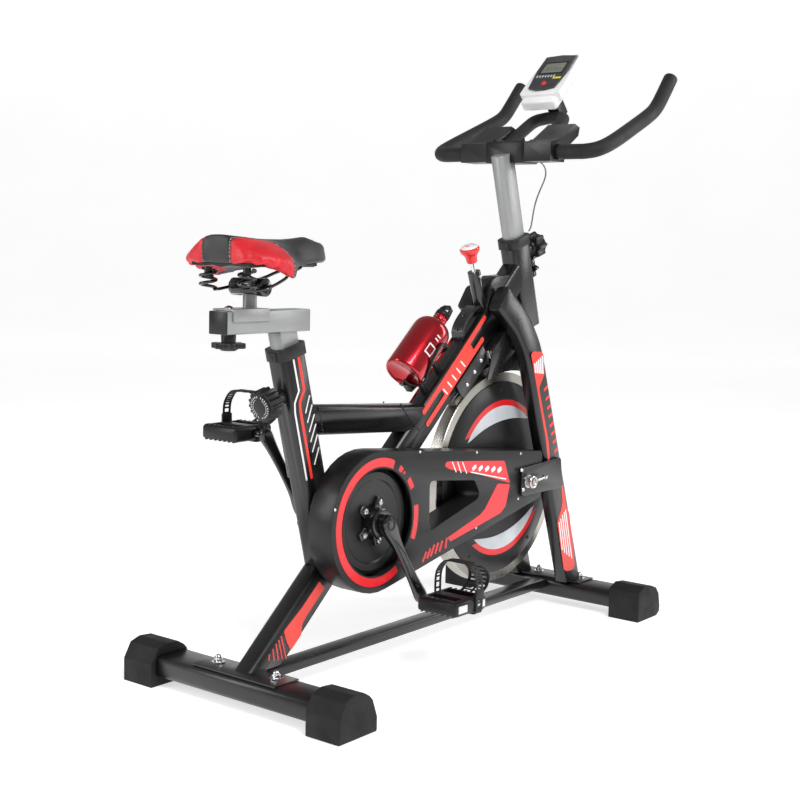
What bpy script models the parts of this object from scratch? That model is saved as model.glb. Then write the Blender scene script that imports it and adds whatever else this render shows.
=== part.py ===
"""An indoor spin bike, modelled as the separate pieces that it is assembled from.

Metres, +Z up, +X towards the handlebar and +Y to the rider's left. The origin is on the floor, under the
middle of the bike. Inside this file, x is counted forward from the back face of the rear feet.
"""

import math

import bmesh
import bpy
from mathutils import Matrix, Vector

# Overall sizes
LENGTH = 1.010  # over the feet, back to front
WIDTH = 0.480  # over the feet, side to side
ORIGIN_X = 0.5294  # from the back face of the rear feet to the origin
GAP = 0.0003  # between solids that touch

# Feet and stabilizer tubes
FOOT_LENGTH = 0.0685
FOOT_DEPTH = 0.091
FOOT_HEIGHT = 0.070
FOOT_WALL = 0.006
STABILIZER_DEPTH = 0.070
STABILIZER_HEIGHT = 0.037
STABILIZER_LIFT = 0.015  # from the floor to the tube's underside
FLANGE_LENGTH = 0.184
FLANGE_DEPTH = 0.056
FLANGE_THICKNESS = 0.003
BASE_TUBE_WIDTH = 0.034
BASE_TUBE_HEIGHT = 0.018

# Frame tubes
TUBE_DEPTH = 0.056  # in the side plane
TUBE_WIDTH = 0.040  # across the bike
TUBE_CORNER = 0.010
TUBE_WALL = 0.002
MAIN_ANGLE = math.radians(41.5)  # above the floor
SEAT_LEAN = math.radians(15.0)  # back from upright
HEAD_LEAN = math.radians(17.0)
MIDDLE_DROP = math.radians(3.9)
MIDDLE_DEPTH = 0.050
HEAD_LENGTH = 0.183
LEG_DEPTH = 0.056
LEG_WIDTH = 0.030
LEG_SPREAD = 0.060  # from the middle of the bike to a leg's middle, at the flywheel
LEG_LEAN = math.radians(19.8)

# Posts
POST_DEPTH = 0.050
POST_WIDTH = 0.0285
POST_CORNER = 0.010
SEAT_POST_INSERT = 0.230
BAR_POST_INSERT = 0.105
SLEEVE_HEIGHT = 0.016
SLEEVE_LIP = 0.0035

# Drive
CRANK_AXLE_X = 0.286
CRANK_AXLE_Z = 0.274
CRANK_LENGTH = 0.170
CRANK_ANGLE = math.radians(-56.0)  # of the right arm, at rest
AXLE_RADIUS = 0.0085
BRACKET_SHELL_RADIUS = 0.022
BRACKET_SHELL_LENGTH = 0.040
CHAIN_Y = -0.050
CHAIN_WIDTH = 0.008
CHAIN_DEPTH = 0.0078
CHAINRING_RADIUS = 0.0825
SPROCKET_RADIUS = 0.0275
GUARD_FACE_Y = -0.0765
GUARD_BACK_Y = -0.0247
GUARD_WALL = 0.0025
GUARD_RADIUS = 0.1215
GUARD_OPENING = 0.0925
GUARD_FRONT_X = 0.800
CRANK_BOSS_OUT = 0.106  # from the middle of the bike to the arm's outer face
PEDAL_OUT = 0.124  # to the pedal's inner face
PEDAL_WIDTH = 0.084
PEDAL_DEPTH = 0.090
PEDAL_HEIGHT = 0.026

# Flywheel
WHEEL_X = 0.742
WHEEL_Z = 0.290
WHEEL_RADIUS = 0.208
WHEEL_WIDTH = 0.026
COVER_RADIUS = 0.190
COVER_OUT = 0.019  # from the middle of the bike to a cover's face
BEARING_CLEARANCE = 0.0004

# Brake
BRAKE_GAP = 0.005
PAD_THICKNESS = 0.009
ARM_THICKNESS = 0.008
BRAKE_PIVOT_X = 0.765
BRAKE_PIVOT_Z = 0.545
ROD_RADIUS = 0.004
ROD_LEAN = math.radians(20.5)

# Seat
SLIDER_LENGTH = 0.187
SLIDER_HEIGHT = 0.036
SLIDER_WIDTH = 0.040
SLIDER_Z = 0.600  # underside
SLIDER_X = -0.019  # back end
CARRIAGE_LENGTH = 0.080
CARRIAGE_PLATE = 0.003
SADDLE_TRAVEL = 0.060
SADDLE_LENGTH = 0.252
SADDLE_WIDTH = 0.205

# Handlebar, bottle and console
BAR_RADIUS = 0.0145
LOOP_RADIUS = 0.0125
BOTTLE_RADIUS = 0.0365
BOTTLE_LENGTH = 0.150
CONSOLE_LENGTH = 0.128
CONSOLE_WIDTH = 0.092
CONSOLE_TILT = math.radians(43.0)

for leftover in list(bpy.data.objects):
    bpy.data.objects.remove(leftover, do_unlink=True)

PARTS = bpy.data.collections.new("spin_bike")
CUTTERS = bpy.data.collections.new("cutters")
bpy.context.scene.collection.children.link(PARTS)
bpy.context.scene.collection.children.link(CUTTERS)


def material(name, color, roughness, metallic=0.0):
    made = bpy.data.materials.new(name)
    made.use_nodes = True
    shader = made.node_tree.nodes["Principled BSDF"]
    shader.inputs["Base Color"].default_value = (*color, 1.0)
    shader.inputs["Roughness"].default_value = roughness
    shader.inputs["Metallic"].default_value = metallic
    return made


BLACK_PAINT = material("black_paint", (0.018, 0.018, 0.020), 0.42)
BLACK_PLASTIC = material("black_plastic", (0.022, 0.022, 0.024), 0.55)
RUBBER = material("rubber", (0.030, 0.030, 0.032), 0.75)
SILVER_PAINT = material("silver_paint", (0.55, 0.56, 0.57), 0.38, 0.55)
CHROME = material("chrome", (0.75, 0.76, 0.78), 0.12, 1.0)
STEEL = material("steel", (0.52, 0.50, 0.47), 0.28, 1.0)
RED_PLASTIC = material("red_plastic", (0.72, 0.03, 0.03), 0.30)
RED_METAL = material("red_metal", (0.55, 0.01, 0.03), 0.25, 0.8)
WHITE_PLASTIC = material("white_plastic", (0.82, 0.82, 0.82), 0.35)
SEAT_COVER = material("seat_cover", (0.60, 0.03, 0.05), 0.50)
FELT = material("felt", (0.10, 0.08, 0.06), 0.95)


def at(x, y, z):
    """A world point from one whose x is counted from the back of the rear feet."""
    return Vector((x - ORIGIN_X, y, z))


def side_frame(x, z, angle=0.0, y=0.0):
    """Local X runs at angle above +X in the side plane, local Y on its upper left and local Z to the right."""
    turned = Matrix.Rotation(-angle, 4, "Y") @ Matrix.Rotation(math.pi / 2, 4, "X")
    return Matrix.Translation(at(x, y, z)) @ turned


def axis_frame(origin, direction):
    """Local Z runs along direction from origin."""
    turned = Vector(direction).normalized().to_track_quat("Z", "Y")
    return Matrix.Translation(origin) @ turned.to_matrix().to_4x4()


def place(obj, name, look=None, frame=None):
    """Names the object and files it, with the parts when it has a look and otherwise with the cutters."""
    obj.name = name
    if frame is not None:
        obj.matrix_world = frame
    for collection in list(obj.users_collection):
        collection.objects.unlink(obj)
    if look is None:
        CUTTERS.objects.link(obj)
        obj.hide_render = True
        obj.display_type = "WIRE"
    else:
        PARTS.objects.link(obj)
        obj.data.materials.clear()
        obj.data.materials.append(look)
    return obj


def cut(obj, cutter, operation="DIFFERENCE"):
    change = obj.modifiers.new(operation.lower(), "BOOLEAN")
    change.operation = operation
    change.object = cutter
    return obj


def mesh_of(curve_object):
    """The curve's shape as a mesh object in the same place, with its loose caps welded on."""
    bpy.context.view_layer.update()
    graph = bpy.context.evaluated_depsgraph_get()
    mesh = bpy.data.meshes.new_from_object(curve_object.evaluated_get(graph))
    shape = bmesh.new()
    shape.from_mesh(mesh)
    bmesh.ops.remove_doubles(shape, verts=shape.verts, dist=1e-6)
    bmesh.ops.recalc_face_normals(shape, faces=shape.faces)
    shape.to_mesh(mesh)
    shape.free()
    made = bpy.data.objects.new(curve_object.name, mesh)
    bpy.context.scene.collection.objects.link(made)
    made.matrix_world = curve_object.matrix_world.copy()
    bpy.data.objects.remove(curve_object)
    return made


def new_curve(splines, dimensions="3D"):
    """A curve object of straight-sided splines, each a list of points and whether it is closed."""
    data = bpy.data.curves.new("curve", "CURVE")
    data.dimensions = dimensions
    for points, closed in splines:
        spline = data.splines.new("POLY")
        spline.points.add(len(points) - 1)
        for slot, point in zip(spline.points, points):
            slot.co = (point[0], point[1], point[2] if len(point) > 2 else 0.0, 1.0)
        spline.use_cyclic_u = closed
    made = bpy.data.objects.new("curve", data)
    bpy.context.scene.collection.objects.link(made)
    return made


def slab(name, outlines, low, high, frame, look=None):
    """Flat outlines, a hole for each one inside another, drawn out along the frame's Z from low to high."""
    curve = new_curve([(outline, True) for outline in outlines], "2D")
    curve.data.fill_mode = "BOTH"
    curve.data.extrude = (high - low) / 2
    curve.matrix_world = frame @ Matrix.Translation((0, 0, (low + high) / 2))
    return place(mesh_of(curve), name, look)


def rail(name, points, width, depth, corner, look=None, steps=3):
    """A rounded bar along a path near the side plane: width is across the bike and depth is in the plane."""
    section = new_curve([(rounded_rectangle(depth, width, corner, steps), True)], "2D")
    section.data.fill_mode = "NONE"
    path = new_curve([([(p[0] - ORIGIN_X, p[2], -p[1]) for p in points], False)])
    path.data.twist_mode = "Z_UP"
    path.data.bevel_mode = "OBJECT"
    path.data.bevel_object = section
    path.data.use_fill_caps = True
    path.matrix_world = Matrix.Rotation(math.pi / 2, 4, "X")
    made = mesh_of(path)
    bpy.data.objects.remove(section)
    return place(made, name, look)


def wire(name, points, radius, look=None, closed=False, sides=2):
    """A round wire or tube through points that are already world points."""
    curve = new_curve([(points, closed)])
    curve.data.bevel_depth = radius
    curve.data.bevel_resolution = sides
    curve.data.use_fill_caps = True
    return place(mesh_of(curve), name, look)


def rod(name, start, end, radius, look=None, sides=24):
    """A straight round bar between two world points."""
    shape = bmesh.new()
    length = (end - start).length
    bmesh.ops.create_cone(
        shape, cap_ends=True, segments=sides, radius1=radius, radius2=radius, depth=length
    )
    mesh = bpy.data.meshes.new(name)
    shape.to_mesh(mesh)
    shape.free()
    made = bpy.data.objects.new(name, mesh)
    return place(made, name, look, axis_frame((start + end) / 2, end - start))


def box(name, low, high, look=None, bevel=0.0, frame=None):
    """A box between two corners, its edges rounded by bevel."""
    shape = bmesh.new()
    bmesh.ops.create_cube(shape, size=1.0)
    for vert in shape.verts:
        vert.co = [low[i] + (vert.co[i] + 0.5) * (high[i] - low[i]) for i in range(3)]
    mesh = bpy.data.meshes.new(name)
    shape.to_mesh(mesh)
    shape.free()
    made = bpy.data.objects.new(name, mesh)
    if bevel:
        rounding = made.modifiers.new("rounding", "BEVEL")
        rounding.width = bevel
        rounding.segments = 2
    return place(made, name, look, Matrix.Translation((-ORIGIN_X, 0, 0)) if frame is None else frame)


def turned(name, profile, frame, look=None, steps=32):
    """A profile of (radius, height) points, closed on the axis, turned about the frame's Z."""
    if sum(a[0] * b[1] - b[0] * a[1] for a, b in zip(profile, profile[1:] + profile[:1])) > 0:
        profile = profile[::-1]
    mesh = bpy.data.meshes.new(name)
    shape = bmesh.new()
    verts = [shape.verts.new((radius, 0.0, height)) for radius, height in profile]
    for first, second in zip(verts, verts[1:]):
        shape.edges.new((first, second))
    if profile[0][0] > 0:
        shape.edges.new((verts[-1], verts[0]))
    shape.to_mesh(mesh)
    shape.free()
    made = bpy.data.objects.new(name, mesh)
    screw = made.modifiers.new("screw", "SCREW")
    screw.steps = steps
    screw.render_steps = steps
    screw.use_merge_vertices = True
    screw.merge_threshold = 0.00001
    return place(made, name, look, frame)


def rounded_rectangle(width, height, corner, steps=3):
    points = []
    for quarter, (sx, sy) in enumerate(((1, 1), (-1, 1), (-1, -1), (1, -1))):
        for step in range(steps + 1):
            angle = math.pi / 2 * (quarter + step / steps)
            x = sx * (width / 2 - corner) + corner * math.cos(angle)
            y = sy * (height / 2 - corner) + corner * math.sin(angle)
            points.append((x, y))
    return points


def arc(x, y, radius, start, end, steps):
    """Points along an arc, its angles in degrees."""
    angles = [math.radians(start + (end - start) * i / steps) for i in range(steps + 1)]
    return [(x + radius * math.cos(a), y + radius * math.sin(a)) for a in angles]


def band(circles, grow=0.0, steps=18):
    """The outline of a tight band round circles (x, y, radius), listed anticlockwise."""
    points = []
    count = len(circles)
    tangents = []
    for i in range(count):
        x1, y1, r1 = circles[i]
        x2, y2, r2 = circles[(i + 1) % count]
        r1, r2 = r1 + grow, r2 + grow
        heading = math.atan2(y2 - y1, x2 - x1)
        swing = math.asin((r1 - r2) / math.hypot(x2 - x1, y2 - y1))
        tangents.append(heading - math.pi / 2 + swing)
    for i, (x, y, r) in enumerate(circles):
        start, end = tangents[i - 1], tangents[i]
        while end < start:
            end += 2 * math.pi
        number = max(2, round(steps * (end - start) / math.pi))
        degrees = (math.degrees(start), math.degrees(end))
        points += arc(x, y, r + grow, *degrees, number)
    return points


def lobed(radius, depth, lobes, steps=8):
    """The outline of a hand knob with rounded lobes."""
    total = lobes * steps
    points = []
    for i in range(total):
        angle = 2 * math.pi * i / total
        r = radius - depth / 2 + depth / 2 * math.cos(lobes * angle)
        points.append((r * math.cos(angle), r * math.sin(angle)))
    return points


def smooth(points, steps=6):
    """Points along a smooth curve through the given ones."""
    path = [Vector(p) for p in points]
    ends = [2 * path[0] - path[1]] + path + [2 * path[-1] - path[-2]]
    found = []
    for a, b, c, d in zip(ends, ends[1:], ends[2:], ends[3:]):
        for i in range(steps):
            t = i / steps
            line = 2 * b + (c - a) * t + (2 * a - 5 * b + 4 * c - d) * t**2
            found.append((line + (3 * b - a - 3 * c + d) * t**3) / 2)
    return found + [path[-1]]


def mirrored(points):
    """A path from right to left whose left half is given from the middle outwards."""
    right = [Vector((p[0], -p[1], p[2])) for p in reversed(points)]
    return right + [Vector(p) for p in points if p[1] > 0]


def hang(pivot_name, point, pieces):
    """Parents the pieces to an empty on the joint's axis, without moving them."""
    pivot = bpy.data.objects.new(pivot_name, None)
    PARTS.objects.link(pivot)
    pivot.location = point
    bpy.context.view_layer.update()
    for piece in pieces:
        piece.parent = pivot
        piece.matrix_parent_inverse = pivot.matrix_world.inverted()
    return pivot


# Feet, stabilizer tubes and the long tube between them
STABILIZER_X = {"rear": FOOT_DEPTH / 2, "front": LENGTH - FOOT_DEPTH / 2}
STABILIZER_TOP = STABILIZER_LIFT + STABILIZER_HEIGHT
FLANGE_TOP = STABILIZER_TOP + GAP + FLANGE_THICKNESS


def stabilizer(end, grow=0.0, look=BLACK_PAINT, longer=0.0):
    outline = rounded_rectangle(
        STABILIZER_DEPTH + 2 * grow, STABILIZER_HEIGHT + 2 * grow, 0.010 + grow, 3
    )
    half = WIDTH / 2 - FOOT_WALL + grow + longer
    frame = side_frame(STABILIZER_X[end], STABILIZER_LIFT + STABILIZER_HEIGHT / 2)
    name = f"{end}_stabilizer" if look else f"{end}_stabilizer_room"
    return slab(name, [outline], -half, half, frame, look)


def foot(end, side):
    """An end cap with a sloping top, that the stabilizer tube is pushed into. The shape is in shares."""
    back = 0.0 if end == "rear" else LENGTH - FOOT_DEPTH
    if end == "rear":
        shape = [(0, 0), (1, 0), (1, 0.34), (0.88, 0.75), (0.80, 0.86), (0.66, 0.97), (0.38, 1.0),
                 (0.16, 0.91), (0, 0.55)]
    else:
        shape = [(0, 0), (0.86, 0), (0.99, 0.10), (1, 0.26), (0.93, 0.66), (0.80, 0.85), (0.60, 0.95),
                 (0.27, 1.0), (0, 0.86)]
    outline = [(x * FOOT_DEPTH, z * FOOT_HEIGHT) for x, z in shape]
    low, high = WIDTH / 2 - FOOT_LENGTH, WIDTH / 2
    if side == "left":
        low, high = -high, -low
    return slab(f"{end}_foot_{side}", [outline], low, high, side_frame(back, 0), RUBBER)


def flange(end):
    half = (FLANGE_DEPTH / 2, FLANGE_LENGTH / 2)
    x = STABILIZER_X[end]
    low = (x - half[0], -half[1], STABILIZER_TOP + GAP)
    look = BLACK_PAINT if end == "front" else None
    return box(f"{end}_flange", low, (x + half[0], half[1], FLANGE_TOP), look)


flanges = {}
for end in ("rear", "front"):
    cut(stabilizer(end), stabilizer(end, -TUBE_WALL, None, 0.01))
    room = stabilizer(end, GAP, None)
    flanges[end] = flange(end)
    for side in ("left", "right"):
        cut(foot(end, side), room)

BASE_LOW = STABILIZER_LIFT + 0.010
base_tube = box(
    "base_tube",
    (STABILIZER_X["rear"] + STABILIZER_DEPTH / 2 + GAP, -BASE_TUBE_WIDTH / 2, BASE_LOW + 0.008),
    (STABILIZER_X["front"] - STABILIZER_DEPTH / 2 - GAP, BASE_TUBE_WIDTH / 2, BASE_LOW + 0.026),
    BLACK_PAINT,
    0.003,
)
inside = (BASE_TUBE_WIDTH / 2 - TUBE_WALL, BASE_LOW + 0.008 + TUBE_WALL, BASE_LOW + 0.026 - TUBE_WALL)
cut(base_tube, box("base_bore", (0, -inside[0], inside[1]), (LENGTH, inside[0], inside[2])))

# Lines of the frame tubes, in the side plane
MAIN_FOOT = (STABILIZER_X["rear"] + 0.0375, 0.060)
SEAT_TOP = (0.131, 0.574)
HEAD_TOP = (0.789, 0.760)


def along_main(s, n=0.0):
    """The point s up the main tube's line from its foot and n above it, as (x, z)."""
    c, k = math.cos(MAIN_ANGLE), math.sin(MAIN_ANGLE)
    return MAIN_FOOT[0] + s * c - n * k, MAIN_FOOT[1] + s * k + n * c


def down_from(top, lean, distance):
    """The point at a distance down a tube that leans back, as (x, z)."""
    return top[0] + distance * math.sin(lean), top[1] - distance * math.cos(lean)


def straight(first, second, y=0.0):
    return [(first[0], y, first[1]), (second[0], y, second[1])]


def tube_room(name, path, wide=TUBE_WIDTH, deep=TUBE_DEPTH, corner=TUBE_CORNER):
    """The space that a tube takes, with its gap, for cutting the tubes that meet it."""
    return rail(name, path, wide + 2 * GAP, deep + 2 * GAP, corner + GAP)


HEAD_RISE = (HEAD_TOP[0] - MAIN_FOOT[0]) * math.tan(MAIN_ANGLE)
HEAD_MEET = (HEAD_TOP[1] - MAIN_FOOT[1] - HEAD_RISE) * math.cos(MAIN_ANGLE)
HEAD_MEET /= math.cos(MAIN_ANGLE - HEAD_LEAN)
main_top = down_from(HEAD_TOP, HEAD_LEAN, HEAD_MEET)
main_path = straight(along_main(-0.06), main_top)
main_tube = rail("main_tube", main_path, TUBE_WIDTH, TUBE_DEPTH, TUBE_CORNER, BLACK_PAINT)
main_room = tube_room("main_room", main_path)
INNER = (TUBE_WIDTH - 2 * TUBE_WALL, TUBE_DEPTH - 2 * TUBE_WALL, TUBE_CORNER - TUBE_WALL)
cut(main_tube, rail("main_bore", straight(along_main(0.02), along_main(1.2)), *INNER))

head_bottom = down_from(HEAD_TOP, HEAD_LEAN, HEAD_LENGTH)
head_path = straight(HEAD_TOP, head_bottom)
head_tube = rail("head_tube", head_path, TUBE_WIDTH, TUBE_DEPTH, TUBE_CORNER, BLACK_PAINT)
cut(main_tube, tube_room("head_room", head_path))
above_head = down_from(HEAD_TOP, HEAD_LEAN, -0.01)
below_head = down_from(HEAD_TOP, HEAD_LEAN, HEAD_LENGTH + 0.01)
cut(head_tube, rail("head_bore", straight(above_head, below_head), *INNER))

SEAT_TUBE_LENGTH = 0.45
seat_bottom = down_from(SEAT_TOP, SEAT_LEAN, SEAT_TUBE_LENGTH)
seat_path = straight(SEAT_TOP, seat_bottom)
seat_tube = rail("seat_tube", seat_path, TUBE_WIDTH, TUBE_DEPTH, TUBE_CORNER, BLACK_PAINT)
cut(seat_tube, main_room)
below_main = slab(
    "below_main",
    [[(-0.2, -0.3), (0.9, -0.3), (0.9, 0), (-0.2, 0)]],
    -0.1,
    0.1,
    side_frame(*MAIN_FOOT, MAIN_ANGLE),
)
cut(seat_tube, below_main)
above_seat = down_from(SEAT_TOP, SEAT_LEAN, -0.01)
seat_bore_end = down_from(SEAT_TOP, SEAT_LEAN, SEAT_POST_INSERT + 0.06)
cut(seat_tube, rail("seat_bore", straight(above_seat, seat_bore_end), *INNER))

middle_start = down_from(SEAT_TOP, SEAT_LEAN, 0.126)
MIDDLE_LENGTH = 0.345
middle_end = (
    middle_start[0] + MIDDLE_LENGTH * math.cos(MIDDLE_DROP),
    middle_start[1] - MIDDLE_LENGTH * math.sin(MIDDLE_DROP),
)
middle_path = straight(middle_start, middle_end)
middle_tube = rail("middle_tube", middle_path, TUBE_WIDTH, MIDDLE_DEPTH, TUBE_CORNER, BLACK_PAINT)
middle_size = (TUBE_WIDTH - 2 * TUBE_WALL, MIDDLE_DEPTH - 2 * TUBE_WALL, TUBE_CORNER - TUBE_WALL)
past = (2 * middle_start[0] - middle_end[0], 2 * middle_start[1] - middle_end[1])
beyond = (2 * middle_end[0] - middle_start[0], 2 * middle_end[1] - middle_start[1])
cut(middle_tube, rail("middle_bore", straight(past, beyond), *middle_size))
cut(middle_tube, tube_room("seat_room", seat_path))
cut(middle_tube, main_room)

# Fork legs, which straddle the flywheel
LEG_KNEE = (0.780, 0.504)
LEG_TOP_Y = TUBE_WIDTH / 2 + LEG_WIDTH / 2 + GAP


def leg_path(sign):
    low = (LEG_KNEE[0] + LEG_KNEE[1] * math.tan(LEG_LEAN), sign * LEG_SPREAD, 0.0)
    bend = [
        (LEG_KNEE[0], sign * LEG_SPREAD, LEG_KNEE[1]),
        (0.766, sign * (LEG_SPREAD - 0.003), 0.546),
        (0.745, sign * (LEG_SPREAD - 0.012), 0.590),
        (0.715, sign * (LEG_TOP_Y + 0.003), 0.625),
        (0.690, sign * LEG_TOP_Y, 0.645),
    ]
    return [low] + [tuple(p) for p in smooth(bend, 3)]


floor_cut = box("under_flanges", (-0.1, -0.3, -0.2), (LENGTH + 0.1, 0.3, FLANGE_TOP + GAP))
cut(main_tube, box("under_main", (-0.2, -0.3, -0.2), (0.4, 0.3, FLANGE_TOP - 0.001)))
cut(main_tube, flanges["rear"], "UNION")
for side, sign in (("left", 1), ("right", -1)):
    leg = rail(f"fork_leg_{side}", leg_path(sign), LEG_WIDTH, LEG_DEPTH, 0.009, BLACK_PAINT)
    bore = leg_path(sign)[:-3]
    cut(leg, rail("leg_bore", bore, LEG_WIDTH - 2 * TUBE_WALL, LEG_DEPTH - 2 * TUBE_WALL, 0.007))
    cut(leg, floor_cut)

# Bottom bracket shell, crossing the main tube's upper half
crank_centre = at(CRANK_AXLE_X, 0, CRANK_AXLE_Z)
SIDE = Vector((0, 1, 0))


def across(x, z, y0, y1, radius, name, look=None, sides=32):
    """A round bar across the bike between two y values."""
    return rod(name, at(x, y0, z), at(x, y1, z), radius, look, sides)


half_shell = BRACKET_SHELL_LENGTH / 2
shell = across(
    CRANK_AXLE_X, CRANK_AXLE_Z, -half_shell, half_shell, BRACKET_SHELL_RADIUS,
    "bottom_bracket_shell", BLACK_PAINT,
)
SHELL_AXIS = (CRANK_AXLE_X, CRANK_AXLE_Z, -0.2, 0.2)
cut(shell, across(*SHELL_AXIS, AXLE_RADIUS + BEARING_CLEARANCE, "crank_bore"))
cut(main_tube, across(*SHELL_AXIS, BRACKET_SHELL_RADIUS + GAP, "shell_room"))

# Plastic sleeves that guide the posts at the tube tops


def sleeve(name, top, lean):
    """A collar that sits on a tube's end, with a bore that the post slides in."""
    grow = SLEEVE_LIP
    path = straight(down_from(top, lean, -GAP - SLEEVE_HEIGHT * 0.2), down_from(top, lean, SLEEVE_HEIGHT))
    body = rail(
        name, path, TUBE_WIDTH + 2 * grow, TUBE_DEPTH + 2 * grow, TUBE_CORNER + grow, BLACK_PLASTIC
    )
    outside = straight(down_from(top, lean, -GAP), down_from(top, lean, SLEEVE_HEIGHT + 0.01))
    cut(body, tube_room(name + "_tube_room", outside))
    bore = straight(down_from(top, lean, -0.02), down_from(top, lean, 0.03))
    clearance = 2 * GAP
    size = (POST_WIDTH + clearance, POST_DEPTH + clearance, POST_CORNER + GAP)
    return cut(body, rail(name + "_bore", bore, *size))


sleeve("seat_collar", SEAT_TOP, SEAT_LEAN)
sleeve("head_collar", HEAD_TOP, HEAD_LEAN)

# Flywheel, its covers, sprocket and fixed axle
wheel_centre = at(WHEEL_X, 0, WHEEL_Z)
wheel_frame = axis_frame(wheel_centre, SIDE)
HUB_RADIUS = 0.028
HUB_HALF = 0.0225
half = WHEEL_WIDTH / 2
wheel_profile = [
    (WHEEL_RADIUS, half),
    (WHEEL_RADIUS, -half),
    (COVER_RADIUS + GAP, -half),
    (COVER_RADIUS + GAP, -half + 0.004),
    (HUB_RADIUS, -half + 0.004),
    (HUB_RADIUS, -HUB_HALF),
    (AXLE_RADIUS - 0.0025 + BEARING_CLEARANCE, -HUB_HALF),
    (AXLE_RADIUS - 0.0025 + BEARING_CLEARANCE, HUB_HALF),
    (HUB_RADIUS, HUB_HALF),
    (HUB_RADIUS, half - 0.004),
    (COVER_RADIUS + GAP, half - 0.004),
    (COVER_RADIUS + GAP, half),
]
flywheel = turned("flywheel", wheel_profile, wheel_frame, STEEL, 44)


def flywheel_cover(side, sign):
    """A shallow plastic dish screwed to the flywheel's web."""
    base = half - 0.004 + GAP
    profile = [
        (COVER_RADIUS - GAP, base),
        (HUB_RADIUS + GAP, base),
        (HUB_RADIUS + GAP, COVER_OUT - 0.004),
        (0.055, COVER_OUT - 0.004),
        (0.062, COVER_OUT),
        (COVER_RADIUS - 0.030, COVER_OUT),
        (COVER_RADIUS - GAP, half + 0.002),
    ]
    frame = axis_frame(wheel_centre, SIDE * sign)
    return turned(f"flywheel_cover_{side}", profile, frame, BLACK_PLASTIC, 44)


covers = [flywheel_cover("left", 1), flywheel_cover("right", -1)]
AXLE_THIN = AXLE_RADIUS - 0.0025
sprocket_profile = [
    (SPROCKET_RADIUS, CHAIN_WIDTH * 0.3),
    (SPROCKET_RADIUS, -CHAIN_WIDTH * 0.3),
    (AXLE_THIN + BEARING_CLEARANCE, -CHAIN_WIDTH * 0.3),
    (AXLE_THIN + BEARING_CLEARANCE, -CHAIN_Y - HUB_HALF - GAP),
    (0.018, -CHAIN_Y - HUB_HALF - GAP),
    (0.018, CHAIN_WIDTH * 0.3),
]
sprocket_frame = axis_frame(at(WHEEL_X, CHAIN_Y, WHEEL_Z), SIDE)
sprocket = turned("flywheel_sprocket", sprocket_profile, sprocket_frame, STEEL)
BRACKET_OUT = LEG_SPREAD + LEG_WIDTH / 2 + GAP
BRACKET_PLATE = 0.007
axle_half = BRACKET_OUT + BRACKET_PLATE + 0.016
across(WHEEL_X, WHEEL_Z, -axle_half, axle_half, AXLE_THIN, "flywheel_axle", STEEL, 24)


def axle_bracket(side, sign):
    """A plate on the leg's outer face that reaches back to the axle, with a slot to set the chain's tension."""
    leg_x = LEG_KNEE[0] + (LEG_KNEE[1] - WHEEL_Z) * math.tan(LEG_LEAN)
    circles = [
        (WHEEL_X - 0.012, WHEEL_Z - 0.018, 0.010),
        (leg_x + 0.008, WHEEL_Z - 0.022, 0.006),
        (leg_x + 0.000, WHEEL_Z + 0.028, 0.006),
        (WHEEL_X - 0.014, WHEEL_Z + 0.020, 0.008),
    ]
    slot = band([(-0.010, 0, AXLE_THIN + GAP), (0.010, 0, AXLE_THIN + GAP)], 0, 8)
    slot = [(x + WHEEL_X, y + WHEEL_Z) for x, y in slot]
    low, high = BRACKET_OUT, BRACKET_OUT + BRACKET_PLATE
    if sign > 0:
        low, high = -high, -low
    frame = side_frame(0, 0)
    name = f"axle_bracket_{side}"
    return slab(name, [band(circles, 0, 6), slot], low, high, frame, BLACK_PAINT)


brackets = [axle_bracket("left", 1), axle_bracket("right", -1)]

# Chain and chain guard
chain_line = [(CRANK_AXLE_X, CRANK_AXLE_Z, CHAINRING_RADIUS), (WHEEL_X, WHEEL_Z, SPROCKET_RADIUS)]
chain_line = [chain_line[1], chain_line[0]]
slab(
    "drive_chain",
    [band(chain_line, GAP + CHAIN_DEPTH), band(chain_line, 3 * GAP)],
    -CHAIN_Y - CHAIN_WIDTH / 2,
    -CHAIN_Y + CHAIN_WIDTH / 2,
    side_frame(0, 0),
    STEEL,
)
guard_circles = [
    (CRANK_AXLE_X, CRANK_AXLE_Z, GUARD_RADIUS),
    (GUARD_FRONT_X - 0.008, 0.258, 0.008),
    (GUARD_FRONT_X - 0.008, 0.336, 0.008),
]
window_circles = [
    (0.441, 0.249, 0.010),
    (0.573, 0.285, 0.011),
    (0.562, 0.302, 0.011),
    (0.439, 0.318, 0.009),
]
FLAT = side_frame(0, 0)
guard = slab(
    "chain_guard_cover",
    [band(guard_circles), band(window_circles, 0, 8)],
    -GUARD_BACK_Y + 2 * GAP + 0.002,
    -GUARD_FACE_Y,
    FLAT,
    BLACK_PLASTIC,
)
pocket = slab(
    "guard_pocket",
    [band(guard_circles, -GUARD_WALL), band(window_circles, GUARD_WALL, 8)],
    0.0,
    -GUARD_FACE_Y - GUARD_WALL,
    FLAT,
)
cut(guard, pocket)
cut(guard, across(*SHELL_AXIS, GUARD_OPENING, "guard_opening", None, 48))
wheel_axis = (WHEEL_X, WHEEL_Z, -0.2, 0.2)
axle_room = across(*wheel_axis, 0.016, "axle_room")
cut(guard, axle_room)
for bracket in brackets:
    cut(bracket, slab("guard_room", [band(guard_circles, 0.001)], GUARD_FACE_Y - 0.0008, -GUARD_FACE_Y + 0.0008, FLAT))
guard_back = slab(
    "chain_guard_back",
    [band(guard_circles, -0.001), band(window_circles, 0.001, 8)],
    -GUARD_BACK_Y,
    -GUARD_BACK_Y + 0.002,
    FLAT,
    BLACK_PLASTIC,
)
cut(guard_back, across(CRANK_AXLE_X, CRANK_AXLE_Z, -0.2, 0.2, 0.030, "shell_hole"))
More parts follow.
